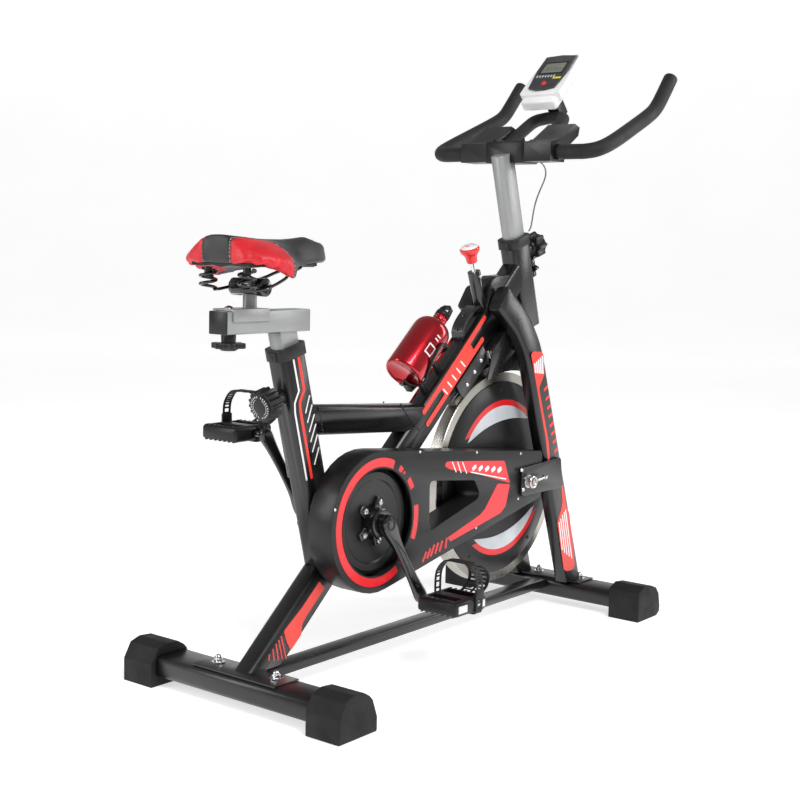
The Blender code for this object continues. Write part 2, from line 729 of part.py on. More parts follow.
cut(guard_back, across(WHEEL_X, WHEEL_Z, -0.2, 0.2, 0.022, "hub_hole"))

# Crank set
BOSS_INNER = 0.0845
crank_axle = across(
    CRANK_AXLE_X, CRANK_AXLE_Z, -CRANK_BOSS_OUT + 0.004, CRANK_BOSS_OUT - 0.004, AXLE_RADIUS,
    "crank_axle", STEEL,
)
RING_FACE = 0.0605
ring_profile = [
    (0.0905, RING_FACE),
    (0.0905, RING_FACE - 0.002),
    (0.076, RING_FACE - 0.0025),
    (0.076, -CHAIN_Y + 0.003),
    (CHAINRING_RADIUS, -CHAIN_Y + 0.003),
    (CHAINRING_RADIUS, -CHAIN_Y - 0.003),
    (AXLE_RADIUS + GAP, -CHAIN_Y - 0.003),
    (AXLE_RADIUS + GAP, RING_FACE),
]
ring_frame = axis_frame(at(CRANK_AXLE_X, 0, CRANK_AXLE_Z), -SIDE)
chainring = turned("chainring", ring_profile, ring_frame, BLACK_PAINT, 44)


def crank_arm(side, sign):
    """An arm from the axle's end to the pedal, with the chainring's five-armed spider on the right one."""
    angle = CRANK_ANGLE if sign < 0 else CRANK_ANGLE + math.pi
    reach = band([(0, 0, 0.017), (CRANK_LENGTH, 0, 0.0135)], 0, 8)
    flip = -1 if sign > 0 else 1
    frame = side_frame(CRANK_AXLE_X, CRANK_AXLE_Z, angle)
    low, high = sorted((flip * BOSS_INNER, flip * CRANK_BOSS_OUT))
    arm = slab(f"crank_arm_{side}", [reach], low, high, frame, BLACK_PAINT)
    lean = slab(
        f"arm_relief_{side}",
        [[(0.035, -0.03), (0.2, -0.03), (0.2, 0.03), (0.035, 0.03)]],
        *sorted((flip * 0.05, flip * (BOSS_INNER + 0.006))),
        frame,
    )
    cut(arm, lean)
    cut(arm, rod(f"axle_hole_{side}", at(CRANK_AXLE_X, -0.3, CRANK_AXLE_Z),
                 at(CRANK_AXLE_X, 0.3, CRANK_AXLE_Z), AXLE_RADIUS + GAP))
    pedal_x = CRANK_AXLE_X + CRANK_LENGTH * math.cos(angle)
    pedal_z = CRANK_AXLE_Z + CRANK_LENGTH * math.sin(angle)
    pin = across(pedal_x, pedal_z, sign * (CRANK_BOSS_OUT - 0.010), sign * (PEDAL_OUT + PEDAL_WIDTH - 0.012),
                 0.0060, f"pedal_pin_{side}")
    cut(arm, pin, "UNION")
    return arm, (pedal_x, pedal_z)


arm_left, pedal_left_at = crank_arm("left", 1)
arm_right, pedal_right_at = crank_arm("right", -1)
hub = rod(
    "spider_hub",
    at(CRANK_AXLE_X, -RING_FACE - GAP, CRANK_AXLE_Z),
    at(CRANK_AXLE_X, -BOSS_INNER - 0.002, CRANK_AXLE_Z),
    0.022,
)
cut(hub, rod("spider_bore", at(CRANK_AXLE_X, -0.05, CRANK_AXLE_Z), at(CRANK_AXLE_X, -0.095, CRANK_AXLE_Z),
             AXLE_RADIUS + GAP))
cut(arm_right, hub, "UNION")
SPIDER_RADIUS = 0.035
for i in range(5):
    angle = math.radians(70 + 72 * i)
    reach = band([(0, 0, 0.012), (SPIDER_RADIUS, 0, 0.009)], 0, 5)
    finger = slab(f"spider_{i}", [reach], RING_FACE + GAP, RING_FACE + 0.0085,
                  side_frame(CRANK_AXLE_X, CRANK_AXLE_Z, angle))
    cut(finger, rod(f"spider_bore_{i}", at(CRANK_AXLE_X, -0.05, CRANK_AXLE_Z),
                    at(CRANK_AXLE_X, -0.095, CRANK_AXLE_Z), AXLE_RADIUS + GAP + 0.004))
    cut(arm_right, finger, "UNION")


def pedal(side, sign, centre):
    """A platform pedal: two long bars and two end bars round an opening, and the tube that its pin turns in."""
    x, z = centre
    middle = sign * (PEDAL_OUT + PEDAL_WIDTH / 2)
    body = box(
        f"pedal_{side}",
        (x - PEDAL_DEPTH / 2, middle - PEDAL_WIDTH / 2, z - PEDAL_HEIGHT / 2),
        (x + PEDAL_DEPTH / 2, middle + PEDAL_WIDTH / 2, z + PEDAL_HEIGHT / 2),
        BLACK_PLASTIC,
        0.006,
    )
    for way in (-1, 1):
        centre_x = x + way * (PEDAL_DEPTH / 4 - 0.001)
        window = box(
            f"pedal_window_{side}_{way}",
            (centre_x - 0.011, middle - PEDAL_WIDTH / 2 + 0.012, z - 0.1),
            (centre_x + 0.011, middle + PEDAL_WIDTH / 2 - 0.012, z + 0.1),
        )
        cut(body, window)
    inner = sign * (PEDAL_OUT - 0.01)
    bore = across(x, z, inner, sign * (PEDAL_OUT + PEDAL_WIDTH - 0.0115), 0.0064, f"pedal_bore_{side}")
    return cut(body, bore)


def toe_cage(side, sign, centre):
    """A curved toe clip from the pedal's front edge, and the strap that closes over the shoe."""
    x, z = centre
    middle = sign * (PEDAL_OUT + PEDAL_WIDTH / 2)
    front = x + PEDAL_DEPTH / 2 + GAP
    arch = smooth([(front, 0, z - 0.009), (front + 0.001, 0, z + 0.004), (front + 0.026, 0, z + 0.018),
                   (front + 0.030, 0, z + 0.040), (front + 0.004, 0, z + 0.062), (x + 0.010, 0, z + 0.068)], 3)
    arch = [(p[0] + 0.003, middle, p[2]) for p in arch]
    cage = rail(f"toe_cage_{side}", arch, 0.046, 0.003, 0.0012, BLACK_PLASTIC, 1)
    half_width = PEDAL_WIDTH / 2 + 0.002 + GAP
    strap_x = x - ORIGIN_X + 0.0185
    low, high = -PEDAL_HEIGHT / 2 - 0.002 - GAP, 0.068
    half_ring = [(0, low), (half_width - 0.006, low), (half_width - 0.001, low + 0.003), (half_width, low + 0.008),
                 (half_width, high - 0.030), (half_width - 0.006, high - 0.012), (half_width - 0.020, high)]
    ring = half_ring + [(-y, h) for y, h in reversed(half_ring[1:])]
    ring = [Vector((strap_x, middle + y, z + h)) for y, h in ring]
    strap = wire(f"strap_{side}", ring, 0.0018, None, True, 1)
    bm = bmesh.new()
    bm.from_mesh(strap.data)
    for vert in bm.verts:
        vert.co.x = strap_x + (vert.co.x - strap_x) * 6.0
    bm.to_mesh(strap.data)
    bm.free()
    return cut(cage, strap, "UNION")


pedals = {}
for side, sign, centre in (("left", 1, pedal_left_at), ("right", -1, pedal_right_at)):
    pedals[side] = [pedal(side, sign, centre), toe_cage(side, sign, centre)]

# Brake: a rod through the main tube pushes an arm whose felt pad bears on the flywheel's rim
def around_wheel(radius, degrees):
    angle = math.radians(degrees)
    return WHEEL_X + radius * math.cos(angle), WHEEL_Z + radius * math.sin(angle)


PAD_INNER = WHEEL_RADIUS + BRAKE_GAP
ARM_INNER = PAD_INNER + PAD_THICKNESS + GAP
ARM_OUTER = ARM_INNER + ARM_THICKNESS
WHEEL_PLACE = side_frame(WHEEL_X, WHEEL_Z)
pad_outline = arc(0, 0, PAD_INNER, 118, 134, 6) + arc(0, 0, PAD_INNER + PAD_THICKNESS, 134, 118, 6)
brake_pad = slab("brake_pad", [pad_outline], -0.0125, 0.0125, WHEEL_PLACE, FELT)
arm_outline = arc(0, 0, ARM_INNER, 84, 135, 14) + arc(0, 0, ARM_OUTER, 135, 92, 12)
pivot = (BRAKE_PIVOT_X - WHEEL_X, BRAKE_PIVOT_Z - WHEEL_Z)
arm_outline += [(pivot[0] - 0.010, pivot[1] + 0.004)] + arc(*pivot, 0.010, 150, -30, 6)
brake_arm = slab("brake_arm", [arm_outline], -0.010, 0.010, WHEEL_PLACE, BLACK_PAINT)
PIN_RADIUS = 0.004
pin_half = LEG_SPREAD - LEG_WIDTH / 2 - 0.0045
pivot_pin = across(BRAKE_PIVOT_X, BRAKE_PIVOT_Z, -pin_half, pin_half, PIN_RADIUS, "brake_pivot_pin", None, 20)
cut(brake_arm, pivot_pin, "UNION")

ROD_POINT = (0.660, 0.684)


def on_rod(distance):
    """The world point at a distance down the brake rod from its point in the sleeve."""
    x, z = down_from(ROD_POINT, ROD_LEAN, distance)
    return at(x, 0, z)


def rod_length_to(radius):
    """How far down the rod's line a circle about the flywheel's axle is met."""
    dx, dz = ROD_POINT[0] - WHEEL_X, ROD_POINT[1] - WHEEL_Z
    b = dx * math.sin(ROD_LEAN) - dz * math.cos(ROD_LEAN)
    return -b - math.sqrt(b * b - dx * dx - dz * dz + radius * radius)


ROD_END = rod_length_to(ARM_OUTER) - 0.0012
KNOB_BASE = 0.030  # up the rod from its point in the sleeve
rod_up = on_rod(0) - on_rod(1)
brake_rod = rod("brake_rod", on_rod(-KNOB_BASE - 0.014), on_rod(ROD_END), ROD_RADIUS, CHROME, 16)
rod_room = rod("rod_room", on_rod(-0.002), on_rod(ROD_END + 0.01), ROD_RADIUS + GAP, None, 16)
cut(main_tube, rod_room)
knob_profile = [
    (0, 0.036), (0.008, 0.0355), (0.0165, 0.0325), (0.0190, 0.028), (0.0185, 0.024), (0.0140, 0.017),
    (0.0105, 0.010), (0.0095, 0.0), (ROD_RADIUS + GAP, 0.0), (ROD_RADIUS + GAP, 0.0145), (0, 0.0145),
]
brake_knob = turned("brake_knob", knob_profile, axis_frame(on_rod(-KNOB_BASE), rod_up), RED_PLASTIC, 20)
sleeve_low = down_from(ROD_POINT, ROD_LEAN, 0.075)
brake_sleeve = rod("brake_sleeve", on_rod(-0.012), on_rod(0.075), 0.0125, BLACK_PAINT)
cut(brake_sleeve, main_room)
cut(brake_sleeve, below_main)
cut(brake_sleeve, rod("sleeve_bore", on_rod(-0.05), on_rod(0.1), ROD_RADIUS + GAP, None, 16))

# The channel plate under the main tube that guides the brake arm
channel_frame = side_frame(*along_main(0.0), MAIN_ANGLE)
half_width = TUBE_WIDTH / 2 + GAP + 0.0025
low_n = -TUBE_DEPTH / 2 - 0.019
channel_outline = [(0.650, low_n + 0.006), (0.656, low_n), (0.756, low_n), (0.762, -0.012), (0.650, -0.012)]
channel = slab("brake_channel", [channel_outline], -half_width, half_width, channel_frame, BLACK_PAINT)
cut(channel, main_room)
low_outline = [(0.6, -0.1), (0.8, -0.1), (0.8, -TUBE_DEPTH / 2 - GAP - 0.0022),
               (0.6, -TUBE_DEPTH / 2 - GAP - 0.0022)]
cut(channel, slab("channel_room", [low_outline], -TUBE_WIDTH / 2, TUBE_WIDTH / 2, channel_frame))
cut(channel, rod_room)

# Fender over the flywheel's top, open below
SHROUD_HALF = 0.034
shroud_low = WHEEL_RADIUS + 0.005
under_main = [along_main(s, -TUBE_DEPTH / 2 - GAP - 0.0035) for s in (0.770, 0.860)]
shroud_outline = [around_wheel(shroud_low, 112 - 34 * i / 6) for i in range(7)]
shroud_outline += [(0.800, 0.560), (0.786, 0.588), (0.760, 0.596), under_main[1], under_main[0]]
shroud = slab("flywheel_shroud", [shroud_outline], -SHROUD_HALF, SHROUD_HALF, FLAT, BLACK_PLASTIC)
inner_low = [(x, z - 0.02) for x, z in (around_wheel(shroud_low, 118), around_wheel(shroud_low, 74))]
inner = [inner_low[0], (0.797, 0.47), (0.797, 0.558), (0.784, 0.585), (0.759, 0.5932),
         (under_main[1][0] + 0.001, under_main[1][1] - 0.003), (under_main[0][0] - 0.012, under_main[0][1] - 0.012)]
cut(shroud, slab("shroud_pocket", [inner], -SHROUD_HALF + 0.0025, SHROUD_HALF - 0.0025, FLAT))
cut(shroud, rod_room)
for sign in (-1, 1):
    cut(shroud, rail("leg_room", leg_path(sign), LEG_WIDTH + 0.002, LEG_DEPTH + 0.002, 0.010))
cut(shroud, across(BRAKE_PIVOT_X, BRAKE_PIVOT_Z, -0.1, 0.1, PIN_RADIUS + GAP, "pin_room"))

# Seat post with the slider tube welded on its top
post_top = SLIDER_Z + 0.004
post_rise = (post_top - SEAT_TOP[1]) / math.cos(SEAT_LEAN)
post_path = straight(
    down_from(SEAT_TOP, SEAT_LEAN, -post_rise), down_from(SEAT_TOP, SEAT_LEAN, SEAT_POST_INSERT)
)
seat_post = rail("seat_post", post_path, POST_WIDTH, POST_DEPTH, POST_CORNER, SILVER_PAINT)
above_slider = box("above_slider", (-0.1, -0.1, SLIDER_Z + 0.001), (0.3, 0.1, SLIDER_Z + 0.1))
cut(seat_post, above_slider)
slider_mid = SLIDER_Z + SLIDER_HEIGHT / 2
slider_path = straight((SLIDER_X, slider_mid), (SLIDER_X + SLIDER_LENGTH, slider_mid))
slider = rail("slider_tube", slider_path, SLIDER_WIDTH, SLIDER_HEIGHT, 0.003, None, 2)
bore_path = straight((SLIDER_X - 0.01, slider_mid), (SLIDER_X + SLIDER_LENGTH + 0.01, slider_mid))
WALL = 0.0025
cut(slider, rail("slider_bore", bore_path, SLIDER_WIDTH - 2 * WALL, SLIDER_HEIGHT - 2 * WALL, 0.001, None, 1))
CLAMP_X = 0.003  # of the clamp screw, at rest
slot_circles = [(CLAMP_X, 0, 0.0048), (CLAMP_X + SADDLE_TRAVEL, 0, 0.0048)]
slot_frame = Matrix.Translation(at(0, 0, 0))
cut(slider, slab("slider_slot", [band(slot_circles, 0, 10)], SLIDER_Z - 0.01, SLIDER_Z + 0.05, slot_frame))
cut(seat_post, slider, "UNION")

# Saddle carriage: a folded plate over the slider tube, with the pin that the saddle clamps on
PLATE_BACK = CLAMP_X - 0.012
SLIDER_TOP = SLIDER_Z + SLIDER_HEIGHT
plate_half = SLIDER_WIDTH / 2 + GAP + CARRIAGE_PLATE
carriage = box(
    "saddle_carriage",
    (PLATE_BACK, -plate_half, SLIDER_TOP - 0.017),
    (PLATE_BACK + CARRIAGE_LENGTH, plate_half, SLIDER_TOP + GAP + CARRIAGE_PLATE),
    SILVER_PAINT,
    0.0012,
)
slider_room = (SLIDER_WIDTH + 4 * GAP, SLIDER_HEIGHT + 2 * GAP, 0.003 + GAP)
cut(carriage, rail("slider_room", bore_path, *slider_room, None, 2))
PIN_X = 0.049
PLATE_TOP = SLIDER_TOP + GAP + CARRIAGE_PLATE
saddle_pin = rod("saddle_pin_solid", at(PIN_X, 0, PLATE_TOP - 0.001), at(PIN_X, 0, 0.681), 0.011)
cut(carriage, saddle_pin, "UNION")
clamp_hole = rod("clamp_hole", at(CLAMP_X, 0, SLIDER_Z), at(CLAMP_X, 0, 0.70), 0.0043)
cut(carriage, clamp_hole)

KNOB_TOP = SLIDER_Z - 0.0006
head_height = PLATE_TOP + GAP
slider_knob = slab(
    "slider_knob", [lobed(0.0275, 0.007, 6, 4)], -0.022, -0.012,
    Matrix.Translation(at(CLAMP_X, 0, KNOB_TOP)), BLACK_PLASTIC,
)
stem_profile = [(0, head_height + 0.005 - KNOB_TOP), (0.006, head_height + 0.0035 - KNOB_TOP),
                (0.0078, head_height - KNOB_TOP), (0.0040, head_height - KNOB_TOP), (0.0040, 0.0),
                (0.0115, 0.0), (0.0115, -0.013), (0.016, -0.014), (0.012, -0.025), (0, -0.026)]
stem = turned("slider_screw", stem_profile, Matrix.Translation(at(CLAMP_X, 0, KNOB_TOP)), None, 20)
cut(slider_knob, stem, "UNION")

# Saddle clamp, wire frame with its two coils, and cushion
CLAMP_Z = 0.672
saddle_clamp = box("saddle_clamp", (PIN_X - 0.019, -0.026, CLAMP_Z - 0.011), (PIN_X + 0.019, 0.026, CLAMP_Z + 0.0145),
                   BLACK_PAINT, 0.004)
cut(saddle_clamp, rod("pin_hole", at(PIN_X, 0, 0.6), at(PIN_X, 0, 0.6815), 0.0112))
clamp_bolt = across(PIN_X, CLAMP_Z, -0.034, 0.034, 0.0085, "clamp_bolt")
for way in (-1, 1):
    ear = across(PIN_X, CLAMP_Z, way * 0.020, way * 0.034, 0.014, f"clamp_ear_{way}", None, 20)
    cut(saddle_clamp, ear, "UNION")

COIL_X, COIL_Y, COIL_LOW, COIL_HIGH = -0.0125 + 0.012, 0.042, 0.668, 0.700
COIL_RADIUS, COIL_TURNS = 0.0125, 2.5


def saddle_wire():
    """The left half of the wire frame: from the nose, past the clamp, into a coil at the back."""
    points = [Vector(p) for p in ((0.160, 0.0, 0.7025), (0.155, 0.010, 0.7025), (0.125, 0.016, 0.694),
                                  (0.100, 0.025, 0.684), (PIN_X, 0.0405, CLAMP_Z), (0.022, 0.0405, COIL_LOW))]
    points = smooth(points, 2)
    steps = 8
    for i in range(int(COIL_TURNS * steps) + 1):
        angle = 2 * math.pi * i / steps - math.pi / 2
        lift = (COIL_HIGH - COIL_LOW) * i / (COIL_TURNS * steps)
        around = (COIL_X + COIL_RADIUS * math.cos(angle), COIL_Y + COIL_RADIUS * math.sin(angle))
        points.append(Vector((*around, COIL_LOW + lift)))
    return points


spring_path = [at(*p) for p in mirrored(saddle_wire())]
springs = wire("saddle_springs", spring_path, 0.0026, BLACK_PAINT, False, 1)

SADDLE_BACK = -0.029


def saddle_half_width(u):
    """Half the width, u along the saddle from back to nose: broad at the back, a narrow nose, round ends."""
    broad = SADDLE_WIDTH / 2
    nose = 0.030
    blend = 1 / (1 + math.exp((u - 0.47) / 0.075))
    rounding = math.sqrt(max(0.0, 1 - max(0.0, 0.20 - u) ** 2 / 0.20**2 * 0.62))
    tip = math.sqrt(max(0.0, 1 - (max(0.0, u - 0.82) / 0.20) ** 2))
    return (nose + (broad - nose) * blend) * rounding * tip


def saddle_cushion():
    """The padded top, from a box of cells mapped on to the saddle's plan and heights."""
    shape = bmesh.new()
    bmesh.ops.create_cube(shape, size=1.0)
    bmesh.ops.subdivide_edges(shape, edges=shape.edges, cuts=9, use_grid_fill=True)
    for vert in shape.verts:
        u, v, w = (c + 0.5 for c in vert.co)
        side = 2 * v - 1
        edge = abs(side) ** 2.4
        top = 0.757 - 0.010 * math.sin(math.pi * u) + 0.006 * u - 0.030 * edge - 0.018 * max(0, u - 0.8) / 0.2
        flap = 0.026 * math.exp(-(((u - 0.34) / 0.17) ** 2)) * edge
        bottom = 0.7095 - flap
        vert.co = (SADDLE_BACK + SADDLE_LENGTH * u, side * saddle_half_width(u), bottom + (top - bottom) * w)
        vert.co.x -= ORIGIN_X
    bmesh.ops.recalc_face_normals(shape, faces=shape.faces)
    mesh = bpy.data.meshes.new("saddle_cushion")
    shape.to_mesh(mesh)
    shape.free()
    made = place(bpy.data.objects.new("saddle_cushion", mesh), "saddle_cushion", SEAT_COVER)
    return made


cushion = saddle_cushion()

# Pull-pin knobs of the two posts


def post_knob(name, top, lean, down, way, radius, pin_gap=0.0005):
    """A knob on a threaded pin through the tube's wall: way is -1 behind the tube and 1 in front of it."""
    x, z = down_from(top, lean, down)
    outward = Vector((way * math.cos(lean), 0, way * math.sin(lean)))
    face = TUBE_DEPTH / 2
    frame = axis_frame(at(x, 0, z) + outward * face, outward)
    start = POST_DEPTH / 2 + pin_gap - face
    profile = [(0.0, 0.052), (radius * 0.55, 0.052), (radius * 0.6, 0.049), (radius * 0.6, 0.030), (0.0120, 0.022),
               (0.0120, GAP), (0.0045, GAP), (0.0045, start), (0, start)]
    core = turned(name + "_core", profile, frame, None, 20)
    grip = slab(name, [lobed(radius, 0.0035, 8, 4)], 0.024, 0.050, frame, BLACK_PLASTIC)
    hole = rod(name + "_hole", at(x, 0, z) + outward * 0.01, at(x, 0, z) + outward * 0.06, 0.0045 + GAP, None, 16)
    return cut(grip, core, "UNION"), hole, outward


seat_knob, seat_knob_hole, seat_out = post_knob("seat_post_knob", SEAT_TOP, SEAT_LEAN, 0.076, -1, 0.0270)
cut(seat_tube, seat_knob_hole)
bar_knob, bar_knob_hole, bar_out = post_knob("bar_post_knob", HEAD_TOP, HEAD_LEAN, 0.034, 1, 0.0270)
cut(head_tube, bar_knob_hole)

# Handlebar post, handlebar, its clamp and elbow rests
BAR_Z = 0.925
bar_rise = (BAR_Z - 0.004 - HEAD_TOP[1]) / math.cos(HEAD_LEAN)
bar_post_path = straight(
    down_from(HEAD_TOP, HEAD_LEAN, -bar_rise), down_from(HEAD_TOP, HEAD_LEAN, BAR_POST_INSERT)
)
bar_post = rail("bar_post", bar_post_path, POST_WIDTH, POST_DEPTH, POST_CORNER, SILVER_PAINT)
BAR_X = 0.775
bar_half = [
    (BAR_X, 0.0, BAR_Z), (BAR_X, 0.070, BAR_Z), (BAR_X, 0.140, BAR_Z), (BAR_X + 0.003, 0.165, BAR_Z + 0.0005),
    (BAR_X + 0.018, 0.184, BAR_Z + 0.006), (BAR_X + 0.060, 0.190, BAR_Z + 0.022), (0.920, 0.186, 0.981),
    (0.985, 0.182, 1.008), (1.012, 0.181, 1.023), (1.034, 0.181, 1.044), (1.077, 0.180, 1.092),
]
bar_path = [at(*p) for p in smooth(mirrored(bar_half), 2)]
handlebar = wire("handlebar", bar_path, BAR_RADIUS, BLACK_PAINT, False, 2)
loop_half = [
    (0.925, 0.0, 1.006), (0.921, 0.020, 1.004), (0.902, 0.034, 0.996), (0.862, 0.038, 0.972),
    (0.810, 0.040, 0.941), (BAR_X + 0.004, 0.040, BAR_Z + 0.003),
]
loop = wire("handlebar_loop", [at(*p) for p in smooth(mirrored(loop_half), 2)], LOOP_RADIUS, None, False, 2)
cut(handlebar, loop, "UNION")
bar_room = rod("bar_room", at(BAR_X, -0.13, BAR_Z), at(BAR_X, 0.13, BAR_Z), BAR_RADIUS + GAP)
clamp = box("handlebar_clamp", (BAR_X - 0.030, -0.044, BAR_Z - 0.021), (BAR_X + 0.028, 0.044, BAR_Z + 0.0215),
            BLACK_PLASTIC, 0.004)
loop_room = wire("loop_room", [at(*p) for p in smooth(mirrored(loop_half), 2)], LOOP_RADIUS + GAP, None, False, 2)
post_room_size = (POST_WIDTH + 2 * GAP, POST_DEPTH + 2 * GAP, POST_CORNER + GAP)
post_room_path = straight(
    down_from(HEAD_TOP, HEAD_LEAN, -bar_rise - GAP), down_from(HEAD_TOP, HEAD_LEAN, 0)
)
post_room = rail("post_room", post_room_path, *post_room_size)
cut(bar_post, bar_room)


def elbow_rest(side, sign):
    """An angular pad on the cross bar, rising forward beside the inner loop."""
    low, high = sorted((sign * 0.0430, sign * 0.104))
    outline = [(BAR_X - 0.026, BAR_Z - 0.018), (BAR_X + 0.024, BAR_Z - 0.018), (BAR_X + 0.030, BAR_Z + 0.008),
               (BAR_X + 0.074, BAR_Z + 0.036), (BAR_X + 0.078, BAR_Z + 0.052), (BAR_X + 0.060, BAR_Z + 0.058),
               (BAR_X + 0.006, BAR_Z + 0.026), (BAR_X - 0.026, BAR_Z + 0.018)]
    cut(clamp, slab(f"elbow_rest_{side}", [outline], *sorted((-low, -high)), FLAT), "UNION")


elbow_rest("left", 1)
elbow_rest("right", -1)
cut(clamp, bar_room)
cut(clamp, loop_room)
cut(clamp, post_room)

# Console on its bracket
console_frame = Matrix.Translation(at(0.906, 0, 1.091)) @ Matrix.Rotation(-CONSOLE_TILT, 4, "Y")
shell_outline = [(-0.064, -0.036), (-0.058, -0.046), (-0.020, -0.046), (0.060, -0.038), (0.064, -0.034),
                 (0.064, 0.034), (0.060, 0.038), (-0.020, 0.046), (-0.058, 0.046), (-0.064, 0.036)]
console = slab("console_shell", [shell_outline], -0.022, -0.002 - GAP, console_frame, WHITE_PLASTIC)
face_outline = [(-0.046, -0.030), (-0.052, -0.010), (-0.053, 0.010), (-0.046, 0.030), (0.010, 0.037),
                (0.056, 0.036), (0.060, 0.0), (0.056, -0.036), (0.010, -0.037)]
console_face = slab("console_face", [face_outline], -0.002, 0.002, console_frame, BLACK_PLASTIC)
button_at = console_frame @ Matrix.Translation((-0.032, 0, 0))
button_hole = turned("button_hole", [(0, 0.01), (0.0063, 0.01), (0.0063, -0.0055), (0, -0.0055)], button_at, None, 20)
cut(console_face, button_hole)
cut(console, button_hole)
console_button = turned(
    "console_button", [(0, 0.0038), (0.0045, 0.0035), (0.0058, 0.0022), (0.0058, -0.0035), (0, -0.0035)],
    button_at, RED_PLASTIC, 20,
)
bracket_frame = console_frame @ Matrix.Translation((-0.006, 0, 0))
neck = box("console_neck", (-0.034, -0.013, -0.090), (-0.004, 0.013, -0.022 - GAP), None, 0.003,
           bracket_frame)
cut(handlebar, neck, "UNION")

# Bottle in its cage, on the main tube
BOTTLE_N = 0.100
BOTTLE_S = 0.568
bottle_x, bottle_z = along_main(BOTTLE_S, BOTTLE_N)
main_direction = Vector((math.cos(MAIN_ANGLE), 0, math.sin(MAIN_ANGLE)))
bottle_frame = axis_frame(at(bottle_x, 0, bottle_z), main_direction)
R = BOTTLE_RADIUS
SHOULDER = BOTTLE_LENGTH - 0.034
bottle_profile = [
    (0, BOTTLE_LENGTH), (0.0135, BOTTLE_LENGTH), (0.0135, BOTTLE_LENGTH - 0.012), (0.0150, BOTTLE_LENGTH - 0.014),
    (0.0150, BOTTLE_LENGTH - 0.018), (0.0200, BOTTLE_LENGTH - 0.022), (0.0300, SHOULDER + 0.006),
    (R * 0.96, SHOULDER), (R, SHOULDER - 0.010), (R, 0.003), (R - 0.003, 0), (0, 0),
]
bottle = turned("bottle", bottle_profile, bottle_frame, RED_METAL, 28)
cap_profile = [(0, 0.010), (0.0120, 0.010), (0.0140, 0.008), (0.0140, 0), (0, 0)]
cap_frame = bottle_frame @ Matrix.Translation((0, 0, BOTTLE_LENGTH + GAP))
cap = turned("bottle_cap", cap_profile, cap_frame, BLACK_PLASTIC, 24)
handle_outline = [(-0.016, 0.004), (-0.013, 0.022), (-0.007, 0.028), (0.007, 0.028), (0.013, 0.022), (0.016, 0.004)]
handle_hole = [(-0.0105, 0.011), (-0.009, 0.020), (-0.005, 0.023), (0.005, 0.023), (0.009, 0.020), (0.0105, 0.011)]
handle = slab("cap_handle", [handle_outline, handle_hole], -0.004, 0.004,
              cap_frame @ Matrix.Rotation(math.pi / 2, 4, "X"))
cut(cap, handle, "UNION")

CAGE_WIRE = 0.0032
cage_out = R + CAGE_WIRE + 0.0008
spine_n = BOTTLE_N - cage_out
tube_top_n = TUBE_DEPTH / 2


def on_cage(s, n, y):
    x, z = along_main(s, n)
    return at(x, y, z)


def cage_ring(s, start, end, steps):
    """Points of an arc round the bottle at s: angle 0 is on the tube's side."""
    found = []
    for i in range(steps + 1):
        angle = math.radians(start + (end - start) * i / steps)
        found.append((s, BOTTLE_N - cage_out * math.cos(angle), cage_out * math.sin(angle)))
    return found


low_s = BOTTLE_S - CAGE_WIRE - 0.0008
arm_points = [(low_s, BOTTLE_N - 0.012, 0.0), (low_s, BOTTLE_N - 0.024, 0.010)]
arm_points += [(BOTTLE_S + 0.012, *cage_ring(0, 0, 48, 1)[1][1:])]
arm_points += [(BOTTLE_S + 0.045, *cage_ring(0, 0, 88, 1)[1][1:])]
arm_points += [(BOTTLE_S + 0.082, *cage_ring(0, 0, 88, 1)[1][1:])]
arm_points += [(BOTTLE_S + 0.098, *cage_ring(0, 0, 55, 1)[1][1:])]
arm_points += [(BOTTLE_S + 0.100, *cage_ring(0, 0, 22, 1)[1][1:]), (BOTTLE_S + 0.095, spine_n, 0.0)]
left_arm = smooth(arm_points, 2)
right_arm = [Vector((p[0], p[1], -p[2])) for p in reversed(left_arm)]
cage_loop = [on_cage(p[0], p[1], p[2]) for p in left_arm + right_arm[1:-1]]
spine_path = [
    (BOTTLE_S - 0.006, BOTTLE_N - 0.020), (BOTTLE_S - 0.005, spine_n + 0.003), (BOTTLE_S + 0.010, spine_n),
    (BOTTLE_S + 0.096, spine_n), (BOTTLE_S + 0.104, spine_n - 0.006),
]
spine_rail = [(along_main(s, n)[0], 0, along_main(s, n)[1]) for s, n in spine_path]
cage = rail("bottle_cage", spine_rail, 0.014, 0.0035, 0.0012, BLACK_PLASTIC, 2)
cut(cage, wire("cage_arms", cage_loop, CAGE_WIRE, None, True, 1), "UNION")
for i, s in enumerate((BOTTLE_S + 0.026, BOTTLE_S + 0.080)):
    post = rod(f"cage_post_{i}", on_cage(s, tube_top_n + GAP, 0), on_cage(s, spine_n, 0), 0.0060, None, 16)
    cut(cage, post, "UNION")
bottle_room = turned(
    "bottle_room", [(0, 0.2), (R + 0.0005, 0.2), (R + 0.0005, -0.0005), (0, -0.0005)], bottle_frame, None, 28
)
cut(cage, bottle_room)

# Sensor cable, from the console's bracket down to the head tube
cable_points = smooth([(0.807, -0.022, 0.917), (0.852, -0.022, 0.908), (0.866, -0.021, 0.886), (0.843, -0.020, 0.848),
                       (0.830, -0.020, 0.822), (0.8205, -0.020, 0.786), (0.8175, -0.0165, 0.7745)], 3)
cable = wire("sensor_cable", [at(*p) for p in cable_points], 0.0015, RUBBER, False, 1)

